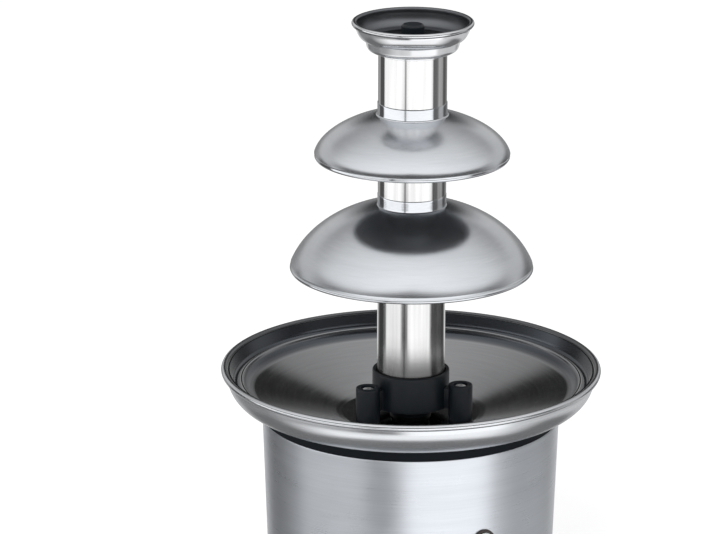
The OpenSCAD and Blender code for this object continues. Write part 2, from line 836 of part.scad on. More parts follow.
module gearbox_cover() {
    color("lightgray") difference() {
        union() {
            translate([0, gearbox_y, 0]) rod(gearbox_r, cover_z, chassis_z);
            gearbox_ears(cover_z, chassis_z);
            rod(case_boss_d / 2, chassis_z - eps, chassis_top + cover_boss_h);
        }
        rod(shaft_d / 2 + running, cover_z - 1, chassis_top + cover_boss_h + 1);
        gearbox_ear_holes(cover_z - 1, chassis_z + 1);
    }
}

module gearbox_screws() {
    color("silver") translate([0, gearbox_y, 0]) around(ear_turns)
        translate([ear_at, 0, cover_z - ear_t]) mirror([0, 0, 1]) screw(ear_t + gearbox_t + chassis_t);
}

// Heater under the dish

module heater_plate() {
    color("lightsteelblue") difference() {
        spun([
            [heater_in, heater_z], [heater_out, heater_z],
            [heater_out, under_z(heater_out) - seated], [heater_in, under_z(heater_in) - seated]
        ]);
        rotate_extrude() translate([element_at, element_z]) circle(r = element_d / 2);
    }
}

// The tube fills its groove for most of a turn, and its ends turn down as terminals
module heating_tube() {
    terminal_h = 3;
    color("dimgray") {
        rotate([0, 0, 90 + (360 - element_turn) / 2]) rotate_extrude(angle = element_turn)
            translate([element_at, element_z]) circle(r = element_d / 2);
        for (side = [-1, 1]) rotate([0, 0, 90 + side * ((360 - element_turn) / 2 + 3)])
            translate([element_at, 0, 0]) rod(element_d / 4, heater_z - terminal_h, element_z);
    }
}

module thermostat() {
    blade_w = 6;
    blade_t = 0.8;
    blade_h = 5;
    blade_at = 3;
    color("saddlebrown") rotate([0, 0, thermostat_turn]) translate([sensor_at, 0, 0]) {
        rod(thermostat_d / 2, heater_z - thermostat_h, heater_z);
        for (side = [-1, 1])
            translate([-blade_w / 2, side * blade_at - blade_t / 2, heater_z - thermostat_h - blade_h])
                cube([blade_w, blade_t, blade_h + eps]);
    }
}

module fuse_body() {
    rotate([0, 0, fuse_turn]) translate([sensor_at, fuse_len / 2, fuse_mid]) rotate([90, 0, 0])
        cylinder(h = fuse_len, d = fuse_d);
}
module thermal_fuse() {
    color("whitesmoke") fuse_body();
}

module fuse_clip() {
    clip_w = fuse_d + 4;
    clip_len = 8;
    clip_h = fuse_d + 1.5;
    color("gainsboro") difference() {
        rotate([0, 0, fuse_turn]) translate([sensor_at - clip_w / 2, -clip_len / 2, heater_z - clip_h])
            cube([clip_w, clip_len, clip_h]);
        fuse_body();
    }
}

// Base

module seat_ring() {
    ring_back = 0.2;
    ring_r = shell_d / 2 - ring_back;
    inner = ring_r - ring_wall;
    spigot_r = shell_r(flange_z) - shell_t - loose;
    boss_r = pillar_d / 2 + boss_wall;
    flange_in = pillar_at - boss_r - boss_wall;
    color([0.1, 0.11, 0.13]) difference() {
        union() {
            spun([
                [flange_in, flange_z], [spigot_r, flange_z], [spigot_r, shell_top], [ring_r, shell_top],
                [ring_r, ring_top], [inner, ring_top],
                [inner, flange_z + flange_t], [flange_in, flange_z + flange_t]
            ]);
            around(pillar_turns) translate([pillar_at, 0, 0]) rod(boss_r, chassis_top, flange_z + eps);
        }
        around(pillar_turns) translate([pillar_at, 0, 0])
            rod(thread_r, chassis_top - 1, flange_z + flange_t - 1);
    }
}

module chassis_plate() {
    plate_gap = 2;
    plate_r = shell_r(chassis_z) - shell_t - plate_gap;
    color("gainsboro") difference() {
        rod(plate_r, chassis_z, chassis_top);
        rod(case_boss_d / 2, chassis_z - 1, chassis_top + 1);
        around(pillar_turns) translate([pillar_at, 0, 0]) rod(thread_r, chassis_z - 1, chassis_top + 1);
        around(post_turns) translate([post_at, 0, 0]) rod(rivet_r, chassis_z - 1, chassis_top + 1);
        gearbox_ear_holes(chassis_z - 1, chassis_top + 1);
    }
}

module base_shell() {
    color("lightgray") difference() {
        translate([0, 0, shell_z]) cylinder(h = shell_h, r1 = shell_r(shell_z), r2 = shell_d / 2);
        translate([0, 0, shell_z - 1])
            cylinder(
                h = shell_h + 2, r1 = shell_r(shell_z - 1) - shell_t, r2 = shell_r(shell_top + 1) - shell_t
            );
        for (side = [-1, 1]) facing_front(side * button_turn, button_z) rod(neck_r, shell_d / 4, shell_d);
        facing_rear(gland_z) rod(gland_neck_r, shell_d / 4, shell_d);
    }
}

module bottom_pan() {
    inner = pan_r - shell_t - loose;
    rib = 3;
    rib_h = 8;
    chamfer = 1.5;
    vents = 16;
    vent_w = 3;
    vent_len = 22;
    vent_at = foot_at - foot_d - 2 - vent_len;
    color([0.1, 0.11, 0.12]) difference() {
        spun([
            [0, pan_z], [pan_r - chamfer, pan_z], [pan_r, pan_z + chamfer], [pan_r, shell_z],
            [inner, shell_z], [inner, shell_z + rib_h], [inner - rib, shell_z + rib_h],
            [inner - rib, pan_z + pan_t], [0, pan_z + pan_t]
        ]);
        around(pillar_turns) translate([pillar_at, 0, 0]) rod(thread_r, pan_z - 1, pan_z + pan_t + 1);
        around([0, 90, 180, 270]) translate([foot_at, 0, 0]) rod(thread_r, pan_z - 1, pan_z + pan_t + 1);
        for (k = [0:vents - 1]) rotate([0, 0, (k + 0.5) * 360 / vents])
            translate([vent_at, -vent_w / 2, pan_z - 1]) cube([vent_len, vent_w, pan_t + 2]);
    }
}

module tie_pillars() {
    color("gainsboro") around(pillar_turns) translate([pillar_at, 0, 0]) difference() {
        union() {
            rod(pillar_d / 2, pan_z + pan_t, chassis_z);
            rod(thread_r, chassis_z - eps, flange_z + flange_t - 1.5);
        }
        rod(thread_r, pan_z, pan_z + pan_t + screw_grip + 1);
    }
}

module bottom_screws() {
    color("silver") around(pillar_turns)
        translate([pillar_at, 0, pan_z]) mirror([0, 0, 1]) screw(pan_t + screw_grip);
}

// A rubber foot with a plug through the pan's floor
module foot(turn) {
    round = 1.5;
    color([0.15, 0.15, 0.15]) rotate([0, 0, turn]) translate([foot_at, 0, 0]) {
        spun(concat(
            [[0, 0]],
            arc([foot_d / 2 - round, round], round, -90, 0),
            [[foot_d / 2, pan_z], [thread_r, pan_z], [thread_r, pan_z + pan_t], [0, pan_z + pan_t]]
        ));
    }
}
module foot_front() { foot(270); }
module foot_rear() { foot(90); }
module foot_left() { foot(180); }
module foot_right() { foot(0); }

// Controls, each on its own radial axis at the front

module bezel(turn) {
    color([0.13, 0.11, 0.1]) difference() {
        facing_front(turn, button_z) rod(bezel_d / 2, neck_back, bezel_front);
        difference() {
            shell_cone(0);
            facing_front(turn, button_z) rod(neck_r, neck_back - 1, bezel_front);
        }
        facing_front(turn, button_z) rod(button_r + sliding, neck_back - 1, bezel_front + 1);
    }
}
module heat_bezel() { bezel(-button_turn); }
module flow_bezel() { bezel(button_turn); }

module button(turn) {
    hollow_r = 40;
    hollow = 0.4;
    front = bezel_front + button_proud;
    color("silver") facing_front(turn, button_z) difference() {
        union() {
            rod(button_r, neck_back + button_travel + 1, front);
            rod(stem_d / 2, neck_back - button_travel - stem_reach, neck_back + button_travel + 2);
        }
        translate([0, 0, front + hollow_r - hollow]) sphere(r = hollow_r);
    }
}
module heat_button() { button(-button_turn); }
module flow_button() { button(button_turn); }

module switch_body(turn) {
    blade = [0.8, 5, 7];
    blade_at = 4;
    rear = neck_back - switch_deep;
    color([0.16, 0.16, 0.17]) facing_front(turn, button_z) difference() {
        union() {
            translate([-switch_w / 2, -switch_w / 2, rear]) cube([switch_w, switch_w, switch_deep]);
            for (side = [-1, 1])
                translate([side * blade_at - blade[0] / 2, -blade[1] / 2, rear - blade[2]])
                    cube(blade + [0, 0, eps]);
        }
        rod(stem_d / 2 + sliding, neck_back - 2 * button_travel - stem_reach - 1, neck_back + 1);
    }
}
module heat_switch() { switch_body(-button_turn); }
module flow_switch() { switch_body(button_turn); }

module bezel_nuts() {
    nut_over = 2;
    nut_w = bezel_d + nut_over;
    nut_h = 3;
    seat = nut_seat(button_z, nut_w);
    color("gainsboro") for (side = [-1, 1]) facing_front(side * button_turn, button_z) difference() {
        hexagon(nut_w, seat - nut_h, seat);
        rod(neck_r, seat - nut_h - 1, seat + 1);
    }
}

module cord_gland() {
    front = shell_r(gland_z) + gland_proud;
    color([0.1, 0.1, 0.1]) difference() {
        facing_rear(gland_z) rod(gland_d / 2, shell_r(gland_z) - gland_neck, front);
        difference() {
            shell_cone(0);
            facing_rear(gland_z) rod(gland_neck_r, 0, front);
        }
        facing_rear(gland_z) rod(gland_bore / 2, 0, front + 1);
    }
}

module gland_nut() {
    nut_h = 4;
    seat = nut_seat(gland_z, gland_d);
    color([0.1, 0.1, 0.1]) facing_rear(gland_z) difference() {
        hexagon(gland_d, seat - nut_h, seat);
        rod(gland_neck_r, seat - nut_h - 1, seat + 1);
    }
}

module terminal_block() {
    ways = 4;
    way_d = 3.4;
    way_deep = 6;
    block_in = 12;
    color("ivory") translate([block_in - pillar_at, -block_len / 2, pan_z + pan_t]) difference() {
        cube([block_w, block_len, block_h]);
        for (k = [0:ways - 1]) translate([block_w / 2, (k + 0.5) * block_len / ways, block_h - way_deep])
            cylinder(h = way_deep + 1, d = way_d);
    }
}

tower_tube();
crown_cup();
upper_tier();
lower_tier();
auger();
bowl_skirt();
bowl_dish();
tower_stand();
stand_screws();
stand_pillars();
shaft_bush();
bush_nut();
shaft_seal();
drive_head();
drive_shaft();
output_gear();
motor_pinion();
motor_shaft();
armature();
commutator();
motor_can();
motor_magnets();
motor_cap();
motor_brushes();
motor_screws();
gearbox_case();
gearbox_cover();
gearbox_screws();
heater_plate();
heating_tube();
thermostat();
thermal_fuse();
fuse_clip();
seat_ring();
chassis_plate();
base_shell();
bottom_pan();
tie_pillars();
bottom_screws();
foot_front();
foot_rear();
foot_left();
foot_right();
heat_button();
flow_button();
heat_bezel();
flow_bezel();
heat_switch();
flow_switch();
bezel_nuts();
cord_gland();
gland_nut();
terminal_block();
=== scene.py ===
# %% [markdown]
# # Dressing a chocolate fountain
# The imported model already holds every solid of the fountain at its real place, in metres.
# This lesson loads it as a fixed frame, models the surfaces that show with the tools that a
# person would use by hand, gives each of them a procedural finish, and sets the camera.

# %% Load the frame
import json
import math
import bpy
from mathutils import Matrix, Vector


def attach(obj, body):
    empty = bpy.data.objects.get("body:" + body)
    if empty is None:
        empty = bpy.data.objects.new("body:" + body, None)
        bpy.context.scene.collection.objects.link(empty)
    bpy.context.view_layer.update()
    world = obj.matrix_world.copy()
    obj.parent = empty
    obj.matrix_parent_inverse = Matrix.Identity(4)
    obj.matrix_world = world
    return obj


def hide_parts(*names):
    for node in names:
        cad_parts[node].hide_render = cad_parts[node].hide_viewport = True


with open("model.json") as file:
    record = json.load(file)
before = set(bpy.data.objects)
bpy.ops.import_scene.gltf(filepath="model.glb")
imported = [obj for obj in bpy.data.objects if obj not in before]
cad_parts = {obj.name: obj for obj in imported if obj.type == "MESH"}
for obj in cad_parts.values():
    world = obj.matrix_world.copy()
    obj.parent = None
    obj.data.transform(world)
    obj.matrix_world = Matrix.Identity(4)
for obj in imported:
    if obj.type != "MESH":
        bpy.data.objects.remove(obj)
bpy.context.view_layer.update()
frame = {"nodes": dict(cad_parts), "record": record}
scene = bpy.context.scene
scene.view_settings.view_transform = "Standard"
MM = 0.001
print("nodes in the frame:", len(frame["nodes"]))

# %% [markdown]
# ## Camera
# The photograph was taken from about 2.7 m with a long lens, a little to the left of the
# front and 18 degrees above the bowl. The bowl's rim is the point that was measured, so the
# camera is placed around it. Then it is turned a little, because the rim lies right of and
# below the middle of the picture. A shift of the lens would do the same, but it would stay
# on in every other view.

# %% Camera
PICTURE_W = 712
PICTURE_H = 534
FOCAL_PX = 4268
RIM_PX = (411.5, 367.4)
RIM_MID = Vector((0, 0, 155.0)) * MM
DISTANCE = 2700 * MM
AZIMUTH = math.radians(-20.9)
ELEVATION = math.radians(18.2)
ROLL = math.radians(0.12)
SENSOR_MM = 36
CLIP_END = 50

away = Vector((
    math.sin(AZIMUTH) * math.cos(ELEVATION),
    -math.cos(AZIMUTH) * math.cos(ELEVATION),
    math.sin(ELEVATION),
))
level = (-away).to_track_quat("-Z", "Y")
right = level @ Vector((1, 0, 0))
up = level @ Vector((0, 1, 0))
metre_per_px = DISTANCE / FOCAL_PX
target = RIM_MID + metre_per_px * (
    (PICTURE_W / 2 - RIM_PX[0]) * right + (RIM_PX[1] - PICTURE_H / 2) * up
)
bpy.ops.object.select_all(action="DESELECT")
bpy.ops.object.camera_add(location=RIM_MID + DISTANCE * away)
camera = bpy.context.object
camera.data.sensor_width = SENSOR_MM
camera.data.lens = FOCAL_PX * SENSOR_MM / PICTURE_W
camera.data.clip_end = CLIP_END
aim = (target - camera.location).to_track_quat("-Z", "Y")
camera.rotation_euler = (aim.to_matrix() @ Matrix.Rotation(ROLL, 3, "Z")).to_euler()
scene.camera = camera
print("camera at", [round(v, 3) for v in camera.location], "lens", round(camera.data.lens, 1))

# %% [markdown]
# ## Light
# Polished steel shows little but its surroundings, so the studio matters as much as the
# metal. The fountain stands on a white table with dark cards beside it, in front of a dark
# room with a white tent above. Real panels would also do, but a world that is brighter in
# those directions gives soft edges and no noise. The camera sees plain white, the metal sees
# that white with the dark cards in front of it, and everything else gets an even light.

# %% World helpers
def new_node(tree, kind, inputs=(), **settings):
    node = tree.nodes.new(kind)
    for key, value in settings.items():
        setattr(node, key, value)
    for key, value in dict(inputs).items():
        node.inputs[key].default_value = value
    return node


def math_node(tree, operation, *inputs, clamp=False):
    node = new_node(tree, "ShaderNodeMath", operation=operation, use_clamp=clamp)
    for slot, value in enumerate(inputs):
        if isinstance(value, (int, float)):
            node.inputs[slot].default_value = value
        else:
            tree.links.new(value, node.inputs[slot])
    return node.outputs[0]


def times(tree, a, b):
    return math_node(tree, "MULTIPLY", a, b)


def mixed(tree, factor, a, b):
    """From a to b, as the factor goes from 0 to 1."""
    return math_node(tree, "MULTIPLY_ADD", math_node(tree, "SUBTRACT", b, a), factor, a)


# %% Directions around the fountain
FACING = math.atan2(away.y, away.x)
DEGREES = math.degrees(1)

world = bpy.data.worlds.new("studio")
scene.world = world
world.use_nodes = True
world.cycles.sampling_method = "NONE"
sky = world.node_tree
sky.nodes.clear()
turned = new_node(sky, "ShaderNodeVectorRotate", {"Angle": -FACING}, rotation_type="Z_AXIS")
sky.links.new(new_node(sky, "ShaderNodeTexCoord").outputs["Generated"], turned.inputs["Vector"])
split = new_node(sky, "ShaderNodeSeparateXYZ")
sky.links.new(turned.outputs[0], split.inputs[0])
frontal, sideways, upward = split.outputs
# Degrees from the camera's side, positive to the camera's right, and degrees above level
bearing = times(sky, math_node(sky, "ARCTAN2", sideways, frontal), DEGREES)
tilt = times(sky, math_node(sky, "ARCSINE", upward), DEGREES)
round_about = math_node(sky, "ABSOLUTE", bearing)


def past(value, at, edge):
    """0 below a number of degrees and 1 above it, with a soft edge."""
    return math_node(sky, "MULTIPLY_ADD", value, 1 / edge, 0.5 - at / edge, clamp=True)


print("camera's side at", round(FACING * DEGREES, 1), "degrees")

# %% Table that the metal sees
# Sectors of the table: from this bearing on, how bright they are far away, in the middle and
# near by, and how soft their edge is
SECTORS = (
    (-150, (0.4, 0.12, 0.3), 16),
    (-136, (0.1, 0.05, 0.3), 6),
    (-107, (1.4, 0.05, 0.3), 6),
    (-95, (1.4, 1.12, 0.4), 8),
    (-34, (1.4, 0.06, 0.1), 8),
    (-26, (0.45, 0.06, 0.1), 4),
    (-20, (1.4, 0.06, 0.1), 4),
    (-12, (1.4, 1.3, 0.1), 6),
    (-5, (1.4, 1.3, 1.5), 8),
    (66, (1.3, 0.05, 0.8), 10),
    (72, (0.16, 0.05, 0.8), 6),
    (88, (0.2, 0.05, 0.7), 24),
    (96, (0.5, 0.05, 0.7), 8),
    (122, (0.12, 0.05, 0.7), 10),
    (148, (0.28, 0.8, 0.6), 20),
)
BEHIND = SECTORS[-1][1]
FAR, MIDDLE, NEAR = range(3)
# Borders: degrees, and how soft they are
FAR_TILT = (-16.3, 1)
NEAR_TILT = (-20.5, 3)
CLOSE_TILT = (-33, 6)
CLOSE_BEARING = (82, 50)
SHADE_TILT = (-57, 10)
CLOSE_FRONT = 1.25
CLOSE_BEHIND = 0.2
SHADED_TABLE = 0.22


def sectors(distance):
    """Brightness of the table around the fountain, at one of the three distances."""
    table = BEHIND[distance]
    for at, bright, edge in SECTORS:
        table = mixed(sky, past(bearing, at, edge), table, bright[distance])
    return table


table = mixed(sky, past(tilt, *NEAR_TILT), sectors(NEAR), sectors(MIDDLE))
table = mixed(sky, past(tilt, *FAR_TILT), table, sectors(FAR))
close = mixed(sky, past(round_about, *CLOSE_BEARING), CLOSE_FRONT, CLOSE_BEHIND)
table = mixed(sky, past(tilt, *CLOSE_TILT), close, table)
table = mixed(sky, past(tilt, *SHADE_TILT), SHADED_TABLE, table)
print("sectors of the table:", len(SECTORS))

# %% Room and tent that the metal sees
ROOM_TILT = (5, 6)
ROOM_BEARING = (98, 34)
ROOM_FRONT = 0.1
ROOM_SIDE = 0.62
CARD_TILT = (-1, 4)
CARD_BEARING = (164, 8)
CARD_FULL = 22
CARD_TAPER = 0.5
CARD_SHADE = 0.03
TENT_TILT = (36, 6)
TENT_MIDDLE = 0.92
TENT_SLOPE = 0.42
TENT_FRONT = -4
TENT_SIDES = 14
REAR_TILT = (44, 24)
REAR_BEARING = (120, 40)
REAR_SHADE = 0.35

room = mixed(sky, past(round_about, *ROOM_BEARING), ROOM_FRONT, ROOM_SIDE)
# The dark card behind is narrower at its foot
below = math_node(sky, "MINIMUM", math_node(sky, "SUBTRACT", tilt, CARD_FULL), 0.0)
card_edge = math_node(sky, "MULTIPLY_ADD", below, CARD_TAPER, round_about)
card = times(sky, past(card_edge, *CARD_BEARING), past(tilt, *CARD_TILT))
room = mixed(sky, card, room, CARD_SHADE)
# The tent is brighter in front, and behind the fountain its lower part is darker
tent = math_node(sky, "MULTIPLY_ADD", frontal, TENT_SLOPE, TENT_MIDDLE)
rear = times(sky, past(round_about, *REAR_BEARING), REAR_SHADE)
low_rear = mixed(sky, past(tilt, *REAR_TILT), rear, 0.0)
tent = times(sky, tent, math_node(sky, "SUBTRACT", 1.0, low_rear))
# It comes down lower behind than in front, and lowest at the sides
aside = math_node(sky, "ABSOLUTE", sideways)
tent_edge = math_node(sky, "MULTIPLY_ADD", aside, TENT_SIDES, tilt)
tent_edge = math_node(sky, "MULTIPLY_ADD", frontal, TENT_FRONT, tent_edge)
cards = mixed(sky, past(tilt, *ROOM_TILT), table, room)
cards = mixed(sky, past(tent_edge, *TENT_TILT), cards, tent)
print("tent from", TENT_TILT[0], "degrees up")

# %% What each ray sees
EVEN_LIGHT = 0.55
WHITE = (1, 1, 1, 1)
path = new_node(sky, "ShaderNodeLightPath").outputs
glossy = path["Is Glossy Ray"]
straight = math_node(sky, "MAXIMUM", path["Is Camera Ray"], path["Is Transmission Ray"])
background = mixed(sky, glossy, 1.0, cards)
shown = math_node(sky, "MAXIMUM", straight, glossy)
brightness = mixed(sky, shown, EVEN_LIGHT, background)
light = new_node(sky, "ShaderNodeBackground", {"Color": WHITE})
sky.links.new(brightness, light.inputs["Strength"])
sky.links.new(light.outputs[0], new_node(sky, "ShaderNodeOutputWorld").inputs["Surface"])
print("world nodes:", len(sky.nodes))

# %% [markdown]
# ## Lamp and floor
# A wide lamp over the left shoulder rounds the black plastics, which an even light leaves
# flat. A sun would do it too, but with hard shadows. The floor is white paper that glows a
# little for the camera alone, so that it melts into the background and keeps the shadow.
# Neither shows in the metal, because the table of the world is already there.

# %% Lamp over the left shoulder
LAMP_AT = Vector((-0.9, -1.3, 1.7))
LAMP_AIM = Vector((0, 0, 0.2))
LAMP_SIZE = 1.0
LAMP_WATTS = 14
bpy.ops.object.light_add(type="AREA", location=LAMP_AT)
key = bpy.context.object
key.name = "key"
key.data.shape = "DISK"
key.data.size = LAMP_SIZE
key.data.energy = LAMP_WATTS
key.rotation_euler = (LAMP_AIM - LAMP_AT).to_track_quat("-Z", "Y").to_euler()
key.visible_glossy = False
print("lamp", key.data.energy, "W")

# %% Floor
FLOOR_R = 6.0
FLOOR_GAP = 0.0003
PAPER = (0.86, 0.86, 0.86, 1)
PAPER_GLOW = 0.55
bpy.ops.object.select_all(action="DESELECT")
bpy.ops.mesh.primitive_circle_add(
    vertices=96, radius=FLOOR_R, fill_type="NGON", location=(0, 0, -FLOOR_GAP)
)
floor = bpy.context.object
floor.name = "floor"
floor.visible_glossy = False
paper = bpy.data.materials.new("white paper")
paper.use_nodes = True
tree = paper.node_tree
tree.nodes.clear()
matt = new_node(tree, "ShaderNodeBsdfDiffuse", {"Color": PAPER})
glow = new_node(tree, "ShaderNodeEmission", {"Color": WHITE})
seen = new_node(tree, "ShaderNodeLightPath").outputs["Is Camera Ray"]
tree.links.new(times(tree, seen, PAPER_GLOW), glow.inputs["Strength"])
both = new_node(tree, "ShaderNodeAddShader")
tree.links.new(matt.outputs[0], both.inputs[0])
tree.links.new(glow.outputs[0], both.inputs[1])
# Seen from below, the paper is clear, so that the underside of the fountain can be looked at
sided = new_node(tree, "ShaderNodeMixShader")
tree.links.new(new_node(tree, "ShaderNodeNewGeometry").outputs["Backfacing"], sided.inputs[0])
tree.links.new(both.outputs[0], sided.inputs[1])
tree.links.new(new_node(tree, "ShaderNodeBsdfTransparent").outputs[0], sided.inputs[2])
tree.links.new(sided.outputs[0], new_node(tree, "ShaderNodeOutputMaterial").inputs["Surface"])
floor.data.materials.append(paper)
print("floor radius", FLOOR_R)

# %% [markdown]
# ## Effects that several finishes share
# Turned, brushed and polished metal differ in the lines that the tool leaves. Lines that run
# around the axis depend on radius and height alone, so a noise that is stretched around the
# axis draws them on any spun piece without a UV map. The cosine and sine of the bearing
# carry the slow change around the piece, so no seam shows where a circle closes. Every piece
# also has faint marks of handling: wide smudges, and specks as fine as a grain.

# %% Node group helpers
LINE_DETAIL = 2.0


def new_group(name, inputs, outputs):
    group = bpy.data.node_groups.new(name, "ShaderNodeTree")
    for label, value in inputs.items():
        socket = group.interface.new_socket(
            name=label, in_out="INPUT", socket_type="NodeSocketFloat"
        )
        socket.default_value = value
    for label in outputs:
        group.interface.new_socket(name=label, in_out="OUTPUT", socket_type="NodeSocketFloat")
    given = new_node(group, "NodeGroupInput").outputs
    return group, given, new_node(group, "NodeGroupOutput").inputs


def round_place(group):
    """Radius, height and the cosine and sine of the bearing, from Object coordinates."""
    split = new_node(group, "ShaderNodeSeparateXYZ")
    group.links.new(new_node(group, "ShaderNodeTexCoord").outputs["Object"], split.inputs[0])
    x, y, z = split.outputs
    squares = [math_node(group, "POWER", side, 2) for side in (x, y)]
    radius = math_node(group, "SQRT", math_node(group, "ADD", *squares))
    safe = math_node(group, "MAXIMUM", radius, 1e-5)
    return radius, z, math_node(group, "DIVIDE", x, safe), math_node(group, "DIVIDE", y, safe)


def noise4(group, x, y, z, w):
    place = new_node(group, "ShaderNodeCombineXYZ")
    for slot, value in enumerate((x, y, z)):
        group.links.new(value, place.inputs[slot])
    grain = {"Scale": 1, "Detail": LINE_DETAIL}
    noise = new_node(group, "ShaderNodeTexNoise", grain, noise_dimensions="4D")
    group.links.new(place.outputs[0], noise.inputs["Vector"])
    group.links.new(w, noise.inputs["W"])
    return noise.outputs[0]


# %% Lines around the axis
DRIFT_AROUND = 0.06
circling, given, result = new_group(
    "lines around", {"Fineness": 1500.0, "Wander": 6.0}, ("Lines", "Drift")
)
radius, z, cosine, sine = round_place(circling)
fine = given["Fineness"]
wander = given["Wander"]
circling.links.new(noise4(
    circling, times(circling, radius, fine), times(circling, z, fine),
    times(circling, cosine, wander), times(circling, sine, wander),
), result["Lines"])
coarse = times(circling, fine, DRIFT_AROUND)
circling.links.new(noise4(
    circling, times(circling, radius, coarse), times(circling, z, coarse), cosine, sine,
), result["Drift"])
print("group", circling.name)

# %% Lines along the axis
DRIFT_ALONG = 0.12
lengthwise, given, result = new_group(
    "lines along", {"Count": 60.0, "Length": 8.0}, ("Lines", "Drift")
)
radius, z, cosine, sine = round_place(lengthwise)
for label, share in (("Lines", 1.0), ("Drift", DRIFT_ALONG)):
    count = times(lengthwise, given["Count"], share)
    lengthwise.links.new(noise4(
        lengthwise,
        times(lengthwise, cosine, count),
        times(lengthwise, sine, count),
        times(lengthwise, z, given["Length"]),
        radius,
    ), result[label])
print("group", lengthwise.name)

# %% Handling marks
SPECKS = 40.0
marks, given, result = new_group("handling marks", {"Size": 60.0}, ("Smudge", "Speck"))
place = new_node(marks, "ShaderNodeTexCoord").outputs["Object"]
for label, share, detail in (("Smudge", 1.0, 5.0), ("Speck", SPECKS, 3.0)):
    noise = new_node(marks, "ShaderNodeTexNoise", {"Detail": detail})
    marks.links.new(place, noise.inputs["Vector"])
    marks.links.new(times(marks, given["Size"], share), noise.inputs["Scale"])
    marks.links.new(noise.outputs[0], result[label])
print("group", marks.name)

# %% [markdown]
# ## Finishes
# Each finish is one material with its own Principled shader. What is the same all over is
# written on the shader's sockets, and what changes over the surface, such as brushing, comes
# from the groups and feeds colour, roughness and bump.

# %% Material helpers
def start_material(name, color, metallic=0.0, **sockets):
    material = bpy.data.materials.new(name)
    material.use_nodes = True
    shader = material.node_tree.nodes["Principled BSDF"]
    shader.inputs["Base Color"].default_value = (*color, 1)
    shader.inputs["Metallic"].default_value = metallic
    for key, value in sockets.items():
        shader.inputs[key].default_value = value
    return material, material.node_tree, shader


def use_group(tree, group, **values):
    return new_node(tree, "ShaderNodeGroup", values, node_tree=group).outputs


def mean(tree, a, b):
    """The mean of two noises."""
    return times(tree, math_node(tree, "ADD", a, b), 0.5)


def spread(tree, value, low, high, start=0.3, end=0.7):
    """Stretches the middle of a noise to run from low to high."""
    ends = {"From Min": start, "From Max": end, "To Min": low, "To Max": high}
    node = new_node(tree, "ShaderNodeMapRange", ends)
    tree.links.new(value, node.inputs["Value"])
    return node.outputs[0]


def tint(tree, value, dark, light):
    ends = {"A": (*dark, 1), "B": (*light, 1)}
    node = new_node(tree, "ShaderNodeMix", ends, data_type="RGBA")
    tree.links.new(value, node.inputs["Factor"])
    return node.outputs["Result"]


def finish_with(tree, shader, color, rough, height, depth):
    """Links colour, roughness and a bump of that depth to the shader."""
    tree.links.new(color, shader.inputs["Base Color"])
    tree.links.new(rough, shader.inputs["Roughness"])
    node = new_node(tree, "ShaderNodeBump", {"Strength": 1.0, "Distance": depth})
    tree.links.new(height, node.inputs["Height"])
    tree.links.new(node.outputs[0], shader.inputs["Normal"])


def gray(value, blue=0.0):
    """A gray that may lean to blue."""
    return (value, value + blue * 0.4, value + blue)


# %% [markdown]
# ## Metals turned or brushed around the axis
# Cup, tiers, bowl and shell were polished or brushed while they turned, so their lines run
# around. One function makes all of these steels; only the fineness of the lines, the gloss
# and the depth differ. Where a piece is smoother, or darker with painted shade as in its inside,
# a number that is painted on its vertices says so. Two materials would need a seam there.

# %% Metals turned or brushed around the axis
HAND_ON_STEEL = 55.0


def turned_metal(name, dark, light, rough, fineness, wander, depth):
    material, tree, shader = start_material(name, light, 1.0)
    lines = use_group(tree, circling, Fineness=fineness, Wander=wander)
    hands = use_group(tree, marks, Size=HAND_ON_STEEL)
    streaks = spread(tree, mean(tree, lines["Lines"], lines["Drift"]), 0, 1, 0.35, 0.65)
    gloss = spread(tree, mean(tree, lines["Lines"], hands["Smudge"]), *rough)
    finish_with(tree, shader, tint(tree, streaks, dark, light), gloss, lines["Lines"], depth)
    return material


def painted_zone(material, name, rough, shade=None):
    """Gives another roughness, and a colour of painted shade if one is given, where a number that is
    painted on the piece is 1.
    """
    tree = material.node_tree
    shader = tree.nodes["Principled BSDF"]
    painted = new_node(tree, "ShaderNodeAttribute", attribute_name=name).outputs["Fac"]
    before = shader.inputs["Roughness"].links[0].from_socket
    tree.links.new(mixed(tree, painted, before, rough), shader.inputs["Roughness"])
    if shade:
        blend = new_node(tree, "ShaderNodeMix", {"B": (*shade, 1)}, data_type="RGBA")
        tree.links.new(painted, blend.inputs["Factor"])
        tree.links.new(shader.inputs["Base Color"].links[0].from_socket, blend.inputs["A"])
        tree.links.new(blend.outputs["Result"], shader.inputs["Base Color"])


mirror_steel = turned_metal(
    "polished steel", gray(0.68, 0.03), gray(0.74, 0.03), (0.09, 0.15), 900.0, 3.0, 3e-6
)
# Painted shade, with more roughness, inside the crown cup
painted_zone(mirror_steel, "inside", 0.34, gray(0.17, 0.02))
skirt_steel = turned_metal(
    "polished bowl steel", gray(0.64, 0.04), gray(0.71, 0.04), (0.18, 0.26), 1200.0, 3.0, 4e-6
)
# Painted shade on the inner half of the bowl's rolled rim
painted_zone(skirt_steel, "inside", 0.3, gray(0.14, 0.01))
satin_steel = turned_metal(
    "satin spun steel", gray(0.63, 0.05), gray(0.69, 0.05), (0.17, 0.25), 2200.0, 5.0, 4e-6
)
painted_zone(satin_steel, "polish", 0.09)
# Painted shade, with more roughness, on the undersides of the domes
painted_zone(satin_steel, "inside", 0.4, gray(0.14, 0.015))
brushed_steel = turned_metal(
    "brushed steel", gray(0.57, 0.065), gray(0.64, 0.07), (0.26, 0.33), 2600.0, 2.5, 2e-6
)
print("turned metals: 4")
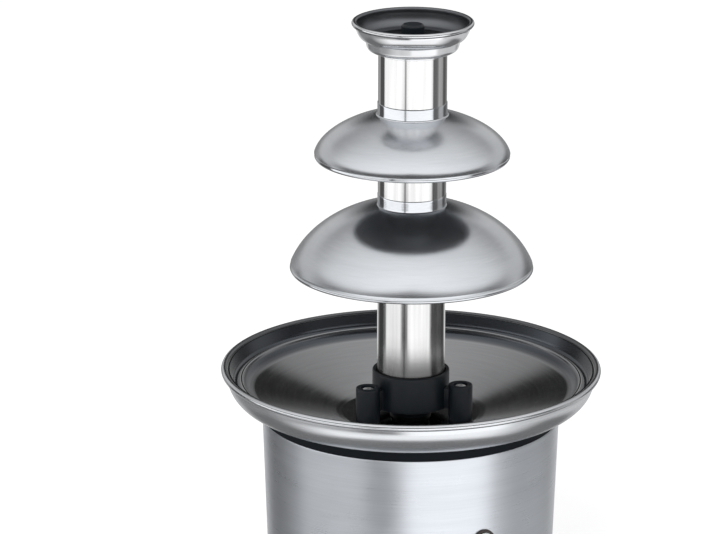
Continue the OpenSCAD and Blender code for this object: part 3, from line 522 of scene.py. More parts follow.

# %% [markdown]
# ## Polished tube
# The tube is polished while it turns, so all that it mirrors is drawn out along its length.
# Fine scratches would do the same, but only in a very large picture. Anisotropic gloss does
# it in the shader, and faint lines along the tube break up the streaks. Towards its foot the
# tube is rougher and darker; the darkening is painted shade in place of the dish's reflection.

# %% Polished tube
DRAWN_OUT = {"Anisotropic": 0.97, "Anisotropic Rotation": 0.25}
tube_steel, tree, shader = start_material("polished tube", gray(0.75, 0.008), 1.0, **DRAWN_OUT)
lines = use_group(tree, lengthwise, Count=55.0, Length=10.0)
hands = use_group(tree, marks, Size=50.0)
finish_with(
    tree,
    shader,
    tint(tree, spread(tree, lines["Drift"], 0, 1), gray(0.64), gray(0.8)),
    spread(tree, mean(tree, lines["Lines"], hands["Smudge"]), 0.055, 0.08),
    lines["Drift"],
    1e-5,
)
# Rougher foot of the tube, darkened with painted shade in place of the dish's reflection
painted_zone(tube_steel, "dull_and_shaded", 0.22, gray(0.2))
print("material", tube_steel.name)

# %% [markdown]
# ## Dark coat of the dish
# Chocolate must not stick, so the dish has a thin dark film on its steel. A black plastic
# would look dead here: the film mirrors like a dark metal. Around its ridge and up its steep
# wall it is duller and darkened with painted shade, less of it on the ridge's crest.

# %% Dark coat of the dish
black_coat = turned_metal(
    "dark non-stick coat", gray(0.4, 0.012), gray(0.45, 0.012), (0.1, 0.16), 700.0, 3.0, 1e-6
)
# Painted shade, with more roughness, around the ridge and up the steep wall
painted_zone(black_coat, "wall", 0.26, gray(0.09, 0.02))
print("material", black_coat.name)

# %% [markdown]
# ## Plastics, rubber and the metals of hidden pieces
# Moulded plastic has the fine grain of its mould and a few smudges, and so have plated,
# sintered and cast metals. One function makes them all from the handling marks. A separate
# tree for each would only repeat it.

# %% Plastics and rubber
HAND_ON_REST = 60.0
MOULD_GRAIN = 2.0e-5
ROUGH_GRAIN = 4.0e-5


def grained(name, dark, light, rough, grain=MOULD_GRAIN, metallic=0.0, **sockets):
    material, tree, shader = start_material(name, light, metallic, **sockets)
    hands = use_group(tree, marks, Size=HAND_ON_REST)
    color = tint(tree, spread(tree, hands["Smudge"], 0, 1), dark, light)
    gloss = spread(tree, mean(tree, hands["Smudge"], hands["Speck"]), *rough)
    finish_with(tree, shader, color, gloss, hands["Speck"], grain)
    return material


SOFT_SHINE = {"Specular IOR Level": 0.3}
NO_SHINE = {"Specular IOR Level": 0.12}
black_plastic = grained(
    "black plastic", (0.008, 0.011, 0.015), (0.013, 0.017, 0.022), (0.3, 0.45), **SOFT_SHINE
)
matt_plastic = grained(
    "matt black plastic", (0.004, 0.006, 0.009), (0.006, 0.009, 0.013), (0.45, 0.6), **NO_SHINE
)
brown_plastic = grained(
    "dark brown plastic", (0.036, 0.026, 0.024), (0.055, 0.041, 0.038), (0.32, 0.46)
)
white_plastic = grained("white plastic", (0.7, 0.69, 0.63), (0.78, 0.77, 0.72), (0.35, 0.5))
rubber = grained("rubber", gray(0.018), (0.034, 0.033, 0.032), (0.7, 0.85), ROUGH_GRAIN)
print("plastics: 5")

# %% Metals of the hidden pieces
PLATE_GRAIN = 1.5e-5
CAST_GRAIN = 6.0e-5


def plain_metal(name, dark, light, rough, grain=PLATE_GRAIN):
    return grained(name, dark, light, rough, grain, 1.0)


zinc_steel = plain_metal("zinc plated steel", (0.5, 0.51, 0.53), gray(0.62), (0.24, 0.4))
screw_steel = plain_metal("screw steel", gray(0.62), gray(0.72), (0.14, 0.24))
# Screw steel lightened for the visible screw heads, a painted highlight
highlit_screw_steel = plain_metal("screw steel lightened for highlight", gray(0.84), gray(0.92), (0.45, 0.55))
dark_steel = plain_metal("dark steel", (0.06, 0.06, 0.065), (0.12, 0.12, 0.125), (0.35, 0.55))
bronze = plain_metal(
    "sintered bronze", (0.42, 0.26, 0.12), (0.55, 0.36, 0.18), (0.35, 0.55), ROUGH_GRAIN
)
cast_aluminium = plain_metal(
    "cast aluminium", (0.55, 0.56, 0.57), (0.68, 0.69, 0.7), (0.42, 0.6), CAST_GRAIN
)
print("plain metals: 6")

# %% [markdown]
# ## Modelling spun pieces
# The cup, the tiers and the bowl are spun from sheet: a disc turns on a lathe and is pressed
# over a form. The nearest thing in Blender is to draw half of the section, vertex by vertex,
# and to spin it around the axis. A section with both sides of the sheet gives the wall its
# thickness and lets the rolled edges be real.

# %% Sections, in millimetres
CLOSEST = 0.02
END_SUPPORT = 0.8
EDGE_ROUND = 0.3
# A section that starts this near the axis closes there
AXIS = 0.01


def arc(mid, r, start, end, steps=14):
    points = []
    for i in range(steps + 1):
        angle = math.radians(start + (end - start) * i / steps)
        points.append((mid[0] + r * math.cos(angle), mid[1] + r * math.sin(angle)))
    return points


def distinct(points):
    kept = [points[0]]
    for p in points[1:]:
        if math.dist(p, kept[-1]) > CLOSEST:
            kept.append(p)
    return kept


def supported(path, closed=False):
    """Adds points near both ends of long lines, so smooth shading keeps them straight."""
    result = []
    following = path[1:] + (path[:1] if closed else [])
    for a, b in zip(path, following):
        result.append(a)
        share = END_SUPPORT / max(math.dist(a, b), 1e-9)
        if share < 0.2:
            for t in (share, 1 - share):
                result.append((a[0] + t * (b[0] - a[0]), a[1] + t * (b[1] - a[1])))
    return result if closed else result + path[-1:]


def sheet(outline, thickness):
    """Both sides of a sheet that lies on the left of an outline, the outline first."""
    path = [Vector(p) for p in distinct(outline)]
    left = []
    for a, b in zip(path, path[1:]):
        along = (b - a).normalized()
        left.append(Vector((-along.y, along.x)))
    sides = [left[0]]
    for a, b in zip(left, left[1:]):
        sides.append((a + b) / (1 + a.dot(b)))
    sides.append(left[-1])
    inner = [p + thickness * s for p, s in zip(path, sides)]
    reach = thickness * EDGE_ROUND
    tip = [(path[-1] + inner[-1]) / 2 + reach * Vector((left[-1].y, -left[-1].x))]
    tail = [(path[0] + inner[0]) / 2 - reach * Vector((left[0].y, -left[0].x))]
    return [tuple(p) for p in path + tip + inner[::-1] + tail]


def softened(corners, r, steps=5):
    """A closed section with its corners rounded by radius r, or by r[i] each."""
    result = []
    count = len(corners)
    for i, corner in enumerate(corners):
        here = Vector(corner)
        before = Vector(corners[i - 1]) - here
        after = Vector(corners[(i + 1) % count]) - here
        own = r[i] if isinstance(r, list) else r
        if own <= 0:
            result.append(tuple(here))
            continue
        half = before.angle(after) / 2
        reach = min(own / math.tan(half), before.length * 0.45, after.length * 0.45)
        a = here + reach * before.normalized()
        b = here + reach * after.normalized()
        for k in range(steps + 1):
            t = k / steps
            result.append(tuple((1 - t) ** 2 * a + 2 * t * (1 - t) * here + t ** 2 * b))
    return supported(result, closed=True)


# %% Drawing and spinning a section
AROUND = 160
SMOOTH = math.radians(32)
DOUBLES = 1e-6


def select_only(*pieces):
    """Goes back to object mode and selects these pieces, the first one active."""
    if bpy.context.object and bpy.context.object.mode != "OBJECT":
        bpy.ops.object.mode_set(mode="OBJECT")
    bpy.ops.object.select_all(action="DESELECT")
    for piece in pieces:
        piece.select_set(True)
    if pieces:
        bpy.context.view_layer.objects.active = pieces[0]


def draw_section(name, section):
    """Starts from a plane that is merged to one vertex, and extrudes that along the section."""
    select_only()
    bpy.ops.mesh.primitive_plane_add(size=MM)
    piece = bpy.context.object
    piece.name = name
    piece.data.name = name
    bpy.ops.object.mode_set(mode="EDIT")
    bpy.ops.mesh.select_all(action="SELECT")
    bpy.ops.mesh.merge(type="CENTER")
    here = Vector((section[0][0], 0, section[0][1])) * MM
    bpy.ops.transform.translate(value=here)
    for r, z in list(section[1:]) + [section[0]]:
        there = Vector((r, 0, z)) * MM
        bpy.ops.mesh.extrude_vertices_move(TRANSFORM_OT_translate={"value": there - here})
        here = there
    bpy.ops.mesh.select_all(action="SELECT")
    return piece


def close_up():
    """Merges doubles, points the faces outwards and shades the piece smooth."""
    bpy.ops.mesh.select_all(action="SELECT")
    bpy.ops.mesh.remove_doubles(threshold=DOUBLES)
    bpy.ops.mesh.normals_make_consistent(inside=False)
    bpy.ops.object.mode_set(mode="OBJECT")
    bpy.ops.object.shade_smooth_by_angle(angle=SMOOTH)


def spun(name, section, around=AROUND):
    piece = draw_section(name, section)
    bpy.ops.mesh.spin(steps=around, angle=2 * math.pi, center=(0, 0, 0), axis=(0, 0, 1))
    close_up()
    return piece


# %% Painting and dressing a piece
def paint(piece, name, amount):
    """Stores a number on every vertex, worked out from its radius and height in millimetres."""
    layer = piece.data.attributes.new(name, "FLOAT", "POINT")
    known = {}
    for vertex, value in zip(piece.data.vertices, layer.data):
        x, y, z = vertex.co / MM
        place = (round(math.hypot(x, y), 2), round(z, 2))
        if place not in known:
            known[place] = float(amount(*place))
        value.value = known[place]


def dress(piece, body, slot, material, *nodes):
    """Gives a new piece its finish and its body, and hides the solids that it stands for."""
    piece.data.materials.clear()
    piece.data.materials.append(material)
    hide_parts(*nodes)
    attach(piece, body)
    print(piece.name, "faces:", len(piece.data.polygons))


# %% [markdown]
# ## Tube
# The tower's tube is drawn steel that stands in the collar of the stand. A cylinder with a
# Solidify modifier would give it too. It is spun from its section like the rest, because the
# section can have a ring of vertices at each height where its roughness and painted shade change.

# %% Tube
TUBE_R = 21.4
TUBE_IN = 20.05
TUBE_FOOT = 135.8
TUBE_TOP = 362.2
TUBE_ROUND = 0.35
# Height in millimetres, and how much roughness and painted shade the steel gets there
DULL_AND_SHADED = (
    (142, 0.0), (148, 0.6), (154, 1.0), (159, 0.95), (164, 0.75), (169, 0.42), (175, 0.12), (182, 0.0)
)


# How much painted shade and roughness the tube's outside gets at a height
def dull_and_shaded_at(r, z):
    if r > TUBE_IN + 1:
        for (low, a), (high, b) in zip(DULL_AND_SHADED, DULL_AND_SHADED[1:]):
            if low <= z <= high:
                return a + (b - a) * (z - low) / (high - low)
    return 0


tube = spun("tube", softened(
    [(TUBE_IN, TUBE_FOOT), (TUBE_R, TUBE_FOOT)]
    + [(TUBE_R, z) for z, _ in DULL_AND_SHADED]
    + [(TUBE_R, TUBE_TOP), (TUBE_IN, TUBE_TOP)],
    [TUBE_ROUND, TUBE_ROUND] + [0] * len(DULL_AND_SHADED) + [TUBE_ROUND, TUBE_ROUND],
))
# Painted shade and roughness on the tube's foot
paint(tube, "dull_and_shaded", dull_and_shaded_at)
dress(tube, "tower", "polished_steel", tube_steel, "tower_tube")

# %% [markdown]
# ## Tiers
# Each tier is a dome of thin steel with a rolled hem, from which the chocolate falls as a
# curtain, and a short neck that grips the tube. A scaled half sphere is too pointed or too
# flat, so the side follows an oval whose fullness can be chosen for each dome.

# %% Tiers
TIER_T = 0.8
HEM_R = 1.5
HEM_INSET = 0.5
TIER_AROUND = 192
DOME_STEPS = 44
OUTLINE_NEAR = 0.3


def dome(edge_r, edge_z, rise, tuck, full, neck_r, neck, fillet):
    """Outer side of a tier: a rolled hem, a dome that stands over it, and a neck."""
    b = rise + tuck
    a = edge_r / (1 - (tuck / b) ** full) ** (1 / full)
    low = math.asin((tuck / b) ** (full / 2))
    high = math.acos(((neck_r + fillet) / a) ** (full / 2))
    shoulder = edge_z - tuck + b * math.sin(high) ** (2 / full)
    side = []
    for i in range(1, DOME_STEPS + 1):
        t = low + (high - low) * i / DOME_STEPS
        z = edge_z - tuck + b * math.sin(t) ** (2 / full)
        if z > edge_z + HEM_R:
            side.append((a * math.cos(t) ** (2 / full), z))
    neck_top = shoulder + fillet + neck
    return supported(
        arc((edge_r - HEM_R - HEM_INSET, edge_z), HEM_R, -200, 30)
        + [(side[0][0] - 0.3, edge_z + 0.9 * HEM_R)]
        + side
        + arc((neck_r + fillet, shoulder + fillet), fillet, 250, 180, 8)
        + [(neck_r, neck_top - 0.3), (neck_r - 0.15, neck_top)]
    )


def behind(outline, r, z):
    """True for a point of the sheet that isn't on its outline."""
    return min(math.dist((r, z), p) for p in outline) > OUTLINE_NEAR


tiers = {
    "lower": {
        "edge_r": 77.0, "edge_z": TUBE_FOOT + 86.1, "rise": 43.0, "tuck": 14.0, "full": 2.0,
        "neck_r": TUBE_R + 0.2, "neck": 6.9, "fillet": 0.5,
    },
    "upper": {
        "edge_r": 61.5, "edge_z": TUBE_FOOT + 158.6, "rise": 29.4, "tuck": 0.5, "full": 1.78,
        "neck_r": TUBE_R + 0.4, "neck": 6.8, "fillet": 1.4,
    },
}
for name, sizes in tiers.items():
    outer = dome(**sizes)
    tier = spun(name + "_dome", sheet(outer, TIER_T), TIER_AROUND)
    hem_top = sizes["edge_z"] + 0.6 * HEM_R
    neck_out = sizes["neck_r"] + OUTLINE_NEAR
    paint(tier, "polish", lambda r, z: r < neck_out or z < hem_top)
    # Painted shade on the underside of each dome, the side of the sheet away from its outline
    paint(tier, "inside", lambda r, z: behind(outer, r, z))
    dress(tier, "tower", "satin_steel", satin_steel, name + "_tier")

# %% [markdown]
# ## Crown cup
# The cup closes the tube's top, and the chocolate spills over its lip. It is spun in two
# steps, a small round one on the tube and a flare over it. The flare is a quarter of an
# ellipse, so an arc of its height is squeezed to its width.

# %% Crown cup
CROWN_FOOT = 360.3
CROWN_TOP = 380.6
CROWN_R = 38.0
LIP_R = 1.6
STEP_R = 28.8
STEP_ROUND = 3.8
STEP_Z = CROWN_FOOT + 8.3
shelf = CROWN_FOOT + 1.5
lip = (CROWN_R - LIP_R, CROWN_TOP - LIP_R)
curl = LIP_R - TIER_T
wall_r = lip[0] - curl
collar_r = TUBE_R + TIER_T
flare_top = lip[1] + 0.5
flare_h = flare_top - STEP_Z
squeeze = (wall_r - STEP_R) / flare_h
outer = supported(
    [(collar_r, CROWN_FOOT), (collar_r, shelf - 0.4)]
    + arc((STEP_R - STEP_ROUND, shelf + STEP_ROUND), STEP_ROUND, 285, 352)
    + [(STEP_R + 0.6, STEP_Z)]
    + [(STEP_R + 0.2 + r * squeeze, z) for r, z in arc((0, flare_top), flare_h, 273, 352)]
    + arc(lip, curl, 180, -60)
)


def in_cup(r, z):
    """True for the inside of the cup, up to the curl of its lip, which gets painted shade."""
    return (z < lip[1] - 0.5 or r < lip[0] + 0.5) and behind(outer, r, z)


cup = spun("crown", sheet(outer, TIER_T))
# Painted shade inside the cup and on the inner curl of its lip
paint(cup, "inside", in_cup)
dress(cup, "tower", "polished_steel", mirror_steel, "crown_cup")

# %% [markdown]
# ## Auger
# A black moulded screw carries the chocolate up. Its core is turned like the other pieces.
# The flight is one small section that a Screw modifier carries up and around; spinning with
# a step in height would leave it in loose turns.

# %% Core of the auger
AUGER_FOOT = 131.2
AUGER_TIP = 378.4
TIP_ROUND = 2
CORE_R = 7.25
HUB_R = 12.0
HUB_TOP = AUGER_FOOT + 14
HUB_SLOPE = 4
HUB_EDGE = 0.4
SOCKET_R = 8.2
SOCKET_TOP = AUGER_FOOT + 10
core = spun("auger", [(AXIS, AUGER_TIP)] + arc(
    (CORE_R - TIP_ROUND, AUGER_TIP - TIP_ROUND), TIP_ROUND, 90, 0
) + [
    (CORE_R, HUB_TOP), (HUB_R, HUB_TOP - HUB_SLOPE),
    (HUB_R, AUGER_FOOT + HUB_EDGE), (HUB_R - HUB_EDGE, AUGER_FOOT),
    (SOCKET_R, AUGER_FOOT), (SOCKET_R, SOCKET_TOP), (AXIS, SOCKET_TOP)
], 64)
print("core faces:", len(core.data.polygons))

# %% Flight of the auger
FLIGHT_R = 19.55
FLIGHT_IN = CORE_R - 1
FLIGHT_T = 3.0
FLIGHT_THIN = 0.3
FLIGHT_ROUND = 0.8
PITCH = 34.0
STEPS_PER_TURN = 56
flight_turns = (TUBE_TOP - AUGER_FOOT - FLIGHT_T) / PITCH
flight_top = AUGER_FOOT + FLIGHT_T
flight = draw_section("flight", softened([
    (FLIGHT_IN, AUGER_FOOT), (FLIGHT_R, AUGER_FOOT + FLIGHT_THIN),
    (FLIGHT_R, flight_top - FLIGHT_THIN), (FLIGHT_IN, flight_top)
], [0, FLIGHT_ROUND, FLIGHT_ROUND, 0]))
bpy.ops.mesh.remove_doubles(threshold=DOUBLES)
bpy.ops.object.mode_set(mode="OBJECT")
climb = flight.modifiers.new("climb", "SCREW")
climb.angle = 2 * math.pi * flight_turns
climb.screw_offset = PITCH * flight_turns * MM
climb.steps = round(STEPS_PER_TURN * flight_turns)
climb.render_steps = climb.steps
bpy.ops.object.modifier_apply(modifier="climb")
bpy.ops.object.mode_set(mode="EDIT")
bpy.ops.mesh.select_all(action="DESELECT")
bpy.ops.mesh.select_mode(type="VERT")
bpy.ops.mesh.select_non_manifold(extend=False)
bpy.ops.mesh.fill_holes(sides=0)
close_up()
flight.rotation_euler = (0, 0, 2 * math.pi * FLIGHT_T / PITCH)
bpy.ops.object.transform_apply(location=True, rotation=True, scale=True)
select_only(core, flight)
bpy.ops.object.join()
dress(core, "auger", "black_plastic", black_plastic, "auger")

# %% [markdown]
# ## Skirt of the bowl
# The outside of the bowl is polished steel that swells out from the ring to a rolled rim.
# A bevelled cylinder would show flats in the mirror, so the swell is drawn as an arc that is
# stretched to the skirt's width. It is hidden from mirrors, because the tube would show it
# where the photograph shows plain streaks.

# %% Skirt
RIM_R = 120.0
BOWL_TOP = 157.0
RING_TOP = 132.2
BEAD_R = 2.0
SKIRT_T = 0.8
SKIRT_R = 116.4
SKIRT_FOOT_R = 87.0
SKIRT_ROUND = 20.0
SKIRT_REACH = 22.4
BOWL_AROUND = 224
bead = (RIM_R - BEAD_R, BOWL_TOP - BEAD_R)
swell = arc((0, RING_TOP + SKIRT_ROUND), SKIRT_ROUND, 270, 360, 24)
skirt = spun("skirt", sheet(supported(
    [(SKIRT_FOOT_R, RING_TOP)]
    + [(SKIRT_R - SKIRT_REACH + r * SKIRT_REACH / SKIRT_ROUND, z) for r, z in swell]
    + arc(bead, BEAD_R - SKIRT_T, 180, -120, 20)
), SKIRT_T), BOWL_AROUND)
# Painted shade on the inner half of the rolled rim
paint(skirt, "inside", lambda r, z: r < bead[0] and z > bead[1] - 0.1)
skirt.visible_glossy = False
dress(skirt, "base", "polished_steel", skirt_steel, "bowl_skirt")

# %% [markdown]
# ## Dish
# The dish hangs in the rim. Below its lip it has a groove and a low ridge, then a shallow
# slope that leads the chocolate to the floor around the tower. Groove and ridge are arcs
# that touch, so the spun wall is smooth there without any bevel.

# %% Dish
DISH_T = 1.2
FLOOR_Z = 125.9
FLOOR_FLAT = 43.0
DISH_HOLE_R = 8.0
GROOVE_R = 2.4
RIDGE_R = 1.2
LEAN_IN = 30
SLOPE = [(105.4, 146.2), (103.6, 144.6), (101.4, 143.4), (99.0, 142.5)]
DARK_FROM = 100.2
DARK_EDGE = 1.5
CREST_FROM = 105.6
CREST_TO = 108.6
CREST_SHADE = 0.4
dish_lip = (RIM_R - 2 * BEAD_R - 0.45, BOWL_TOP - 1.6)
groove = (RIM_R - 9.7, BOWL_TOP - 7.6)
ridge = (
    groove[0] - (GROOVE_R + RIDGE_R) * math.cos(math.radians(LEAN_IN)),
    groove[1] - (GROOVE_R + RIDGE_R) * math.sin(math.radians(LEAN_IN)),
)
dish = spun("dish", sheet(supported(
    [dish_lip, (dish_lip[0] - 1, dish_lip[1])]
    + arc(groove, GROOVE_R, 0, LEAN_IN - 180)
    + arc(ridge, RIDGE_R, LEAN_IN, 172)
    + SLOPE
    + [(FLOOR_FLAT + 4, FLOOR_Z + 1.2), (FLOOR_FLAT, FLOOR_Z + 0.15)]
    + [(FLOOR_FLAT - 3, FLOOR_Z), (DISH_HOLE_R, FLOOR_Z)]
), DISH_T), BOWL_AROUND)


def painted_wall_shade(r, z):
    """Painted shade inside and outside the ridge, and less of it on its crest."""
    if CREST_FROM < r < CREST_TO:
        return CREST_SHADE
    return min(max((r - DARK_FROM) / DARK_EDGE, 0), 1)


# Painted shade on the dish's wall and around its ridge
paint(dish, "wall", painted_wall_shade)
dish.visible_glossy = False
dress(dish, "base", "black_coat", black_coat, "bowl_dish")

# %% [markdown]
# ## Stand
# Three posts and a collar are one black moulding. Collar and posts are spun, the webs are
# plates, and a Boolean union makes one shell of them, as the mould does. The post and the
# web are made once and copied, each copy with its own mesh.

# %% Placing, copying and cutting
def placed(piece, x=0.0, y=0.0, z=0.0, turn=0.0, tip=0.0):
    """Tips, turns and moves a piece, in degrees and millimetres; its object stays at the origin."""
    select_only(piece)
    piece.rotation_euler = (math.radians(tip), 0, math.radians(turn))
    piece.location = Vector((x, y, z)) * MM
    bpy.ops.object.transform_apply(location=True, rotation=True, scale=True)
    return piece


def out_at(distance, turn):
    """Place at that distance from the axis, at a turn in degrees."""
    return distance * math.cos(math.radians(turn)), distance * math.sin(math.radians(turn))


def copied(pattern, name):
    select_only(pattern)
    bpy.ops.object.duplicate(linked=False)
    copy = bpy.context.object
    copy.name = name
    copy.data.name = name
    return copy


def used_up(piece):
    bpy.data.objects.remove(piece, do_unlink=True)


def block(size, at, turn=0.0):
    """A box around a point, in millimetres and degrees, as a tool or a plate to go on from."""
    select_only()
    bpy.ops.mesh.primitive_cube_add(size=MM)
    piece = bpy.context.object
    piece.scale = size
    return placed(piece, *at, turn)


def boolean(piece, other, operation):
    """Unites a piece with another one or cuts it with that, which is used up."""
    select_only(piece)
    step = piece.modifiers.new("cut", "BOOLEAN")
    step.operation = operation
    step.solver = "EXACT"
    step.object = other
    bpy.ops.object.modifier_apply(modifier="cut")
    used_up(other)


# %% Stand
SLIDE = 0.1
COLLAR_R = 24.35
COLLAR_FOOT = FLOOR_Z + 5.9
COLLAR_TOP = COLLAR_FOOT + 23
MOUTH = 1.1
MOUTH_H = 2
POST_R = 7.6
POST_AT = 33.9
POST_TOP = FLOOR_Z + 22.8
POST_TURNS = (-43.4, 76.6, 196.6)
SHANK_R = 2.0
RECESS_R = 4.5
RECESS_H = 4.2
head_z = POST_TOP - RECESS_H
stand = spun("stand", softened([
    (TUBE_IN, COLLAR_FOOT), (COLLAR_R, COLLAR_FOOT), (COLLAR_R, COLLAR_TOP),
    (TUBE_R + MOUTH, COLLAR_TOP), (TUBE_R + SLIDE, COLLAR_TOP - MOUTH_H),
    (TUBE_R + SLIDE, TUBE_FOOT), (TUBE_IN, TUBE_FOOT)
], [0.4, 0.7, 0.7, 0.3, 0, 0, 0.3]), 128)
post = spun("post", softened([
    (SHANK_R, FLOOR_Z), (POST_R, FLOOR_Z), (POST_R, POST_TOP), (RECESS_R, POST_TOP),
    (RECESS_R, head_z), (SHANK_R, head_z)
], [0, 0.3, 0.8, 0.4, 0.2, 0]), 72)
print("post faces:", len(post.data.polygons))

# %% Webs, and one moulding of them all
WEB_T = 7.0
WEB_EDGE = 0.5
WEB_FOOT = COLLAR_FOOT + 0.6
WEB_TOP = POST_TOP - 3
WEB_FROM = COLLAR_R - 2.5
WEB_TO = POST_AT - RECESS_R - 0.8
web = block(
    (WEB_TO - WEB_FROM, WEB_T, WEB_TOP - WEB_FOOT),
    ((WEB_FROM + WEB_TO) / 2, 0, (WEB_FOOT + WEB_TOP) / 2),
)
bpy.ops.object.mode_set(mode="EDIT")
bpy.ops.mesh.select_all(action="SELECT")
bpy.ops.mesh.bevel(offset=WEB_EDGE * MM, segments=3, affect="EDGES")
for turn in POST_TURNS:
    leg = placed(copied(post, "leg"), *out_at(POST_AT, turn))
    boolean(leg, placed(copied(web, "leg_web"), turn=turn), "UNION")
    boolean(stand, leg, "UNION")
used_up(post)
used_up(web)
bpy.ops.object.shade_smooth_by_angle(angle=SMOOTH)
dress(stand, "base", "black_plastic", black_plastic, "tower_stand")

# %% [markdown]
# ## Screws in the posts
# Shiny screws with a domed head and a cross recess hold the stand. The head could be half a
# sphere, but a real one is flatter on top. It is spun, two blocks cut the cross, and the
# finished screw is copied into each post.

# %% Screws in the posts
HEAD_R = 4.0
HEAD_H = 3.7
head_top = head_z + HEAD_H
# Radius of the domed head, and how far below its top
HEAD_DOME = ((AXIS, 0), (1.6, 0.05), (2.8, 0.35), (3.6, 0.9), (3.95, 1.6))
HEAD_EDGE = 0.2
POINT_Z = 115.2
POINT_R = 1.5
POINT_H = 1.5
CROSS = (4.4, 0.9, 2.4)
CROSS_TURN = 20
screw = spun("screw", [(r, head_top - down) for r, down in HEAD_DOME] + [
    (HEAD_R, head_z + HEAD_EDGE), (HEAD_R - HEAD_EDGE, head_z), (SHANK_R, head_z),
    (SHANK_R, POINT_Z + POINT_H), (POINT_R, POINT_Z), (AXIS, POINT_Z)
], 48)
for turn in (CROSS_TURN, CROSS_TURN + 90):
    boolean(screw, block(CROSS, (0, 0, head_top), turn), "DIFFERENCE")
screws = []
for turn in POST_TURNS:
    screws.append(placed(copied(screw, "stand_screw_heads"), *out_at(POST_AT, turn)))
used_up(screw)
select_only(*screws)
bpy.ops.object.join()
bpy.ops.object.shade_smooth_by_angle(angle=SMOOTH)
# The heads get the lightened screw steel, a painted highlight
dress(screws[0], "base", "polished_steel", highlit_screw_steel, "stand_screws")

# %% [markdown]
# ## Ring
# A black moulded ring carries the bowl. Its spigot plugs into the base, and four bosses
# under its flange take the pillars that tie the base together. They are joined to the ring
# and not united with it: nothing shows there, and a Boolean would only add thin triangles.

# %% Ring
SHELL_TOP = 125.0
SHELL_FOOT = 12.0
SHELL_R = 94.0
SHELL_AROUND = 192
LEAN = math.tan(math.radians(2.05))
RING_R = SHELL_R - 0.2
RING_IN = SHELL_R - 5.2
FLANGE_IN = 64.96
FLANGE_FOOT = 115.0
FLANGE_TOP = 118.0
BOSS_R = 6.0
BOSS_IN = 2.0
BOSS_FOOT = 108.5
BOSS_TOP = 115.2
PILLAR_AT = 71.96
PILLAR_TURNS = (45, 135, 225, 315)


def shell_r(z):
    return SHELL_R - (SHELL_TOP - z) * LEAN


spigot = shell_r(FLANGE_FOOT) - 1.1
ring = spun("ring", softened([
    (FLANGE_IN, FLANGE_FOOT), (spigot, FLANGE_FOOT), (spigot, SHELL_TOP), (RING_R, SHELL_TOP),
    (RING_R, RING_TOP), (RING_IN, RING_TOP), (RING_IN, FLANGE_TOP), (FLANGE_IN, FLANGE_TOP)
], [0.3, 0.3, 0, 0.3, 0.6, 0.3, 0.3, 0.3]), SHELL_AROUND)
boss = spun("boss", softened([
    (BOSS_IN, BOSS_FOOT), (BOSS_R, BOSS_FOOT), (BOSS_R, BOSS_TOP), (BOSS_IN, BOSS_TOP)
], 0.2), 32)
bosses = [placed(copied(boss, "ring_boss"), *out_at(PILLAR_AT, turn)) for turn in PILLAR_TURNS]
used_up(boss)
select_only(ring, *bosses)
bpy.ops.object.join()
dress(ring, "base", "black_plastic", matt_plastic, "seat_ring")

# %% [markdown]
# ## Shell
# The base is a brushed steel shell, a little narrower at its foot. It is rolled from a strip,
# so its brushing runs around it. The holes for the buttons and the cord's gland are drilled
# with spun rods and a Boolean difference, which keeps the wall's thickness in the holes.

# %% Shell
SHELL_T = 0.8
BUTTON_Z = 68.1
BUTTON_TURN = 8.8
TO_FRONT = 90
TO_REAR = -90
NECK_R = 7.3
GLAND_Z = 29.0
GLAND_NECK_R = 6.5
DRILL_FROM = 60.0
DRILL_TO = 110.0
shell = spun("shell", softened([
    (shell_r(SHELL_FOOT) - SHELL_T, SHELL_FOOT), (shell_r(SHELL_FOOT), SHELL_FOOT),
    (SHELL_R, SHELL_TOP), (SHELL_R - SHELL_T, SHELL_TOP)
], 0.3), SHELL_AROUND)
for turn, tip, z, r in (
    (-BUTTON_TURN, TO_FRONT, BUTTON_Z, NECK_R),
    (BUTTON_TURN, TO_FRONT, BUTTON_Z, NECK_R),
    (0, TO_REAR, GLAND_Z, GLAND_NECK_R),
):
    drill = spun("drill", [(AXIS, DRILL_FROM), (r, DRILL_FROM), (r, DRILL_TO), (AXIS, DRILL_TO)], 64)
    boolean(shell, placed(drill, z=z, turn=turn, tip=tip), "DIFFERENCE")
bpy.ops.object.shade_smooth_by_angle(angle=SMOOTH)
dress(shell, "base", "brushed_steel", brushed_steel, "base_shell")

# %% [markdown]
# ## Bezels and buttons
# Two round push buttons switch heat and motor, each in a dark ring. Ring and cap are spun
# upright on the fountain's axis, like the large pieces, and then copied, tipped over and set
# in their holes. Modelling them in place would need a turned view for every step.

# %% Bezels and buttons
BEZEL_R = 8.0
BEZEL_FRONT = shell_r(BUTTON_Z) + 1.6
BEZEL_SEAT = shell_r(BUTTON_Z) - 0.5
NECK_BACK = shell_r(BUTTON_Z) - 12
BUTTON_R = 6.4
BUTTON_FRONT = BEZEL_FRONT + 0.7
BUTTON_BACK = NECK_BACK + 3.5
BUTTON_ROUND = 0.6
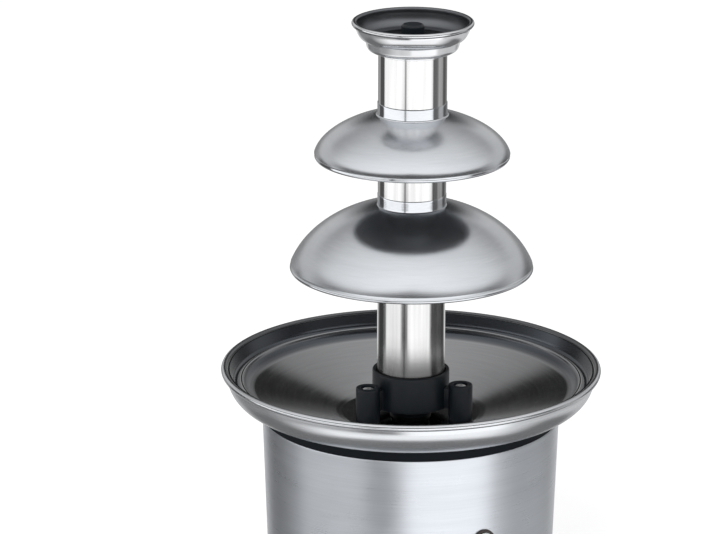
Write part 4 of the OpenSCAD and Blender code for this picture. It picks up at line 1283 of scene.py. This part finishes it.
# Radius on the hollow face of the button, and how far behind its front
BUTTON_FACE = ((AXIS, 0.4), (2.0, 0.36), (4.0, 0.22))
STEM_R = 2.5
STEM_BACK = NECK_BACK - 6.5
bezel = spun("bezel", softened([
    (BUTTON_R + SLIDE, NECK_BACK), (NECK_R, NECK_BACK), (NECK_R, BEZEL_SEAT),
    (BEZEL_R, BEZEL_SEAT), (BEZEL_R, BEZEL_FRONT), (BUTTON_R + SLIDE, BEZEL_FRONT)
], [0, 0.2, 0, 0, 0.8, 0.4]), 96)
button_edge = (BUTTON_R - BUTTON_ROUND, BUTTON_FRONT - BUTTON_ROUND)
button = spun("button", supported(
    [(r, BUTTON_FRONT - back) for r, back in BUTTON_FACE]
    + arc(button_edge, BUTTON_ROUND, 95, 0, 6)
    + [(BUTTON_R, BUTTON_BACK), (STEM_R, BUTTON_BACK), (STEM_R, STEM_BACK), (AXIS, STEM_BACK)],
    closed=True,
), 96)
for name, turn in (("heat", -BUTTON_TURN), ("flow", BUTTON_TURN)):
    rim = placed(copied(bezel, name + "_ring"), z=BUTTON_Z, turn=turn, tip=TO_FRONT)
    dress(rim, "base", "bezel_brown", brown_plastic, name + "_bezel")
    cap = placed(copied(button, name + "_cap"), z=BUTTON_Z, turn=turn, tip=TO_FRONT)
    dress(cap, name + "_button", "brushed_steel", screw_steel, name + "_button")
used_up(bezel)
used_up(button)

# %% [markdown]
# ## Cord gland
# At the rear a black gland lines the hole where the cord goes in. It is one turned plug with
# a chamfered flange; a plain tube would leave the sharp edge that a gland is there to cover.

# %% Cord gland
GLAND_R = 9.0
GLAND_BORE_R = 3.6
GLAND_FRONT = shell_r(GLAND_Z) + 3
GLAND_BACK = GLAND_FRONT - 17
GLAND_SEAT = GLAND_FRONT - 3.5
gland = spun("gland", softened([
    (GLAND_BORE_R, GLAND_BACK), (GLAND_NECK_R, GLAND_BACK), (GLAND_NECK_R, GLAND_SEAT),
    (GLAND_R, GLAND_SEAT), (GLAND_R, GLAND_FRONT - 1.4), (GLAND_R - 1.6, GLAND_FRONT),
    (GLAND_BORE_R, GLAND_FRONT)
], [0.2, 0.3, 0, 0, 0.5, 0.7, 0.8]), 96)
placed(gland, z=GLAND_Z, tip=TO_REAR)
dress(gland, "base", "black_plastic", black_plastic, "cord_gland")

# %% [markdown]
# ## Feet
# Four rubber feet plug into the pan. Each has a hollow sole, a fine groove around it and a
# short plug on top. One is spun and copied to the four places.

# %% Feet
FOOT_AT = 73.955
FOOT_R = 9.0
FOOT_H = 6.0
HOLLOW_R = 4.2
HOLLOW_EDGE_R = 4.8
HOLLOW_H = 0.7
LINE_Z = 3.1
LINE_HALF = 0.4
LINE_DEPTH = 0.5
PLUG_R = 2.0
PLUG_TOP = FOOT_H + 3
foot = spun("foot", softened([
    (AXIS, HOLLOW_H), (HOLLOW_R, HOLLOW_H), (HOLLOW_EDGE_R, 0), (FOOT_R, 0),
    (FOOT_R, LINE_Z - LINE_HALF), (FOOT_R - LINE_DEPTH, LINE_Z), (FOOT_R, LINE_Z + LINE_HALF),
    (FOOT_R, FOOT_H), (PLUG_R, FOOT_H), (PLUG_R, PLUG_TOP), (AXIS, PLUG_TOP)
], [0, 0.3, 0.3, 1.5, 0.2, 0.2, 0.2, 0.3, 0, 0.3, 0]), 64)
for name, turn in (("front", 270), ("rear", 90), ("left", 180), ("right", 0)):
    pad = placed(copied(foot, name + "_pad"), *out_at(FOOT_AT, turn))
    dress(pad, "base", "rubber", rubber, "foot_" + name)
used_up(foot)

# %% [markdown]
# ## The pieces that stay as they are
# The solids of the drive, the heater and the controls are already right, so they only get
# their finishes. The record says which slot each of them takes, and a table says which
# material that is here.

# %% Finishes of the remaining nodes
finish_of = {
    "polished_steel": screw_steel,
    "satin_steel": satin_steel,
    "brushed_steel": screw_steel,
    "black_coat": black_coat,
    "black_plastic": black_plastic,
    "bezel_brown": brown_plastic,
    "rubber": rubber,
    "zinc_steel": zinc_steel,
    "bronze": bronze,
    "white_plastic": white_plastic,
    "cast_aluminium": cast_aluminium,
    "dark_steel": dark_steel,
}
slot_of = {part["node"]: part["material_slot"] for part in frame["record"]["subparts"]}
for node, solid in frame["nodes"].items():
    solid.data.materials.clear()
    solid.data.materials.append(finish_of[slot_of[node]])
print("finished nodes:", len(frame["nodes"]))
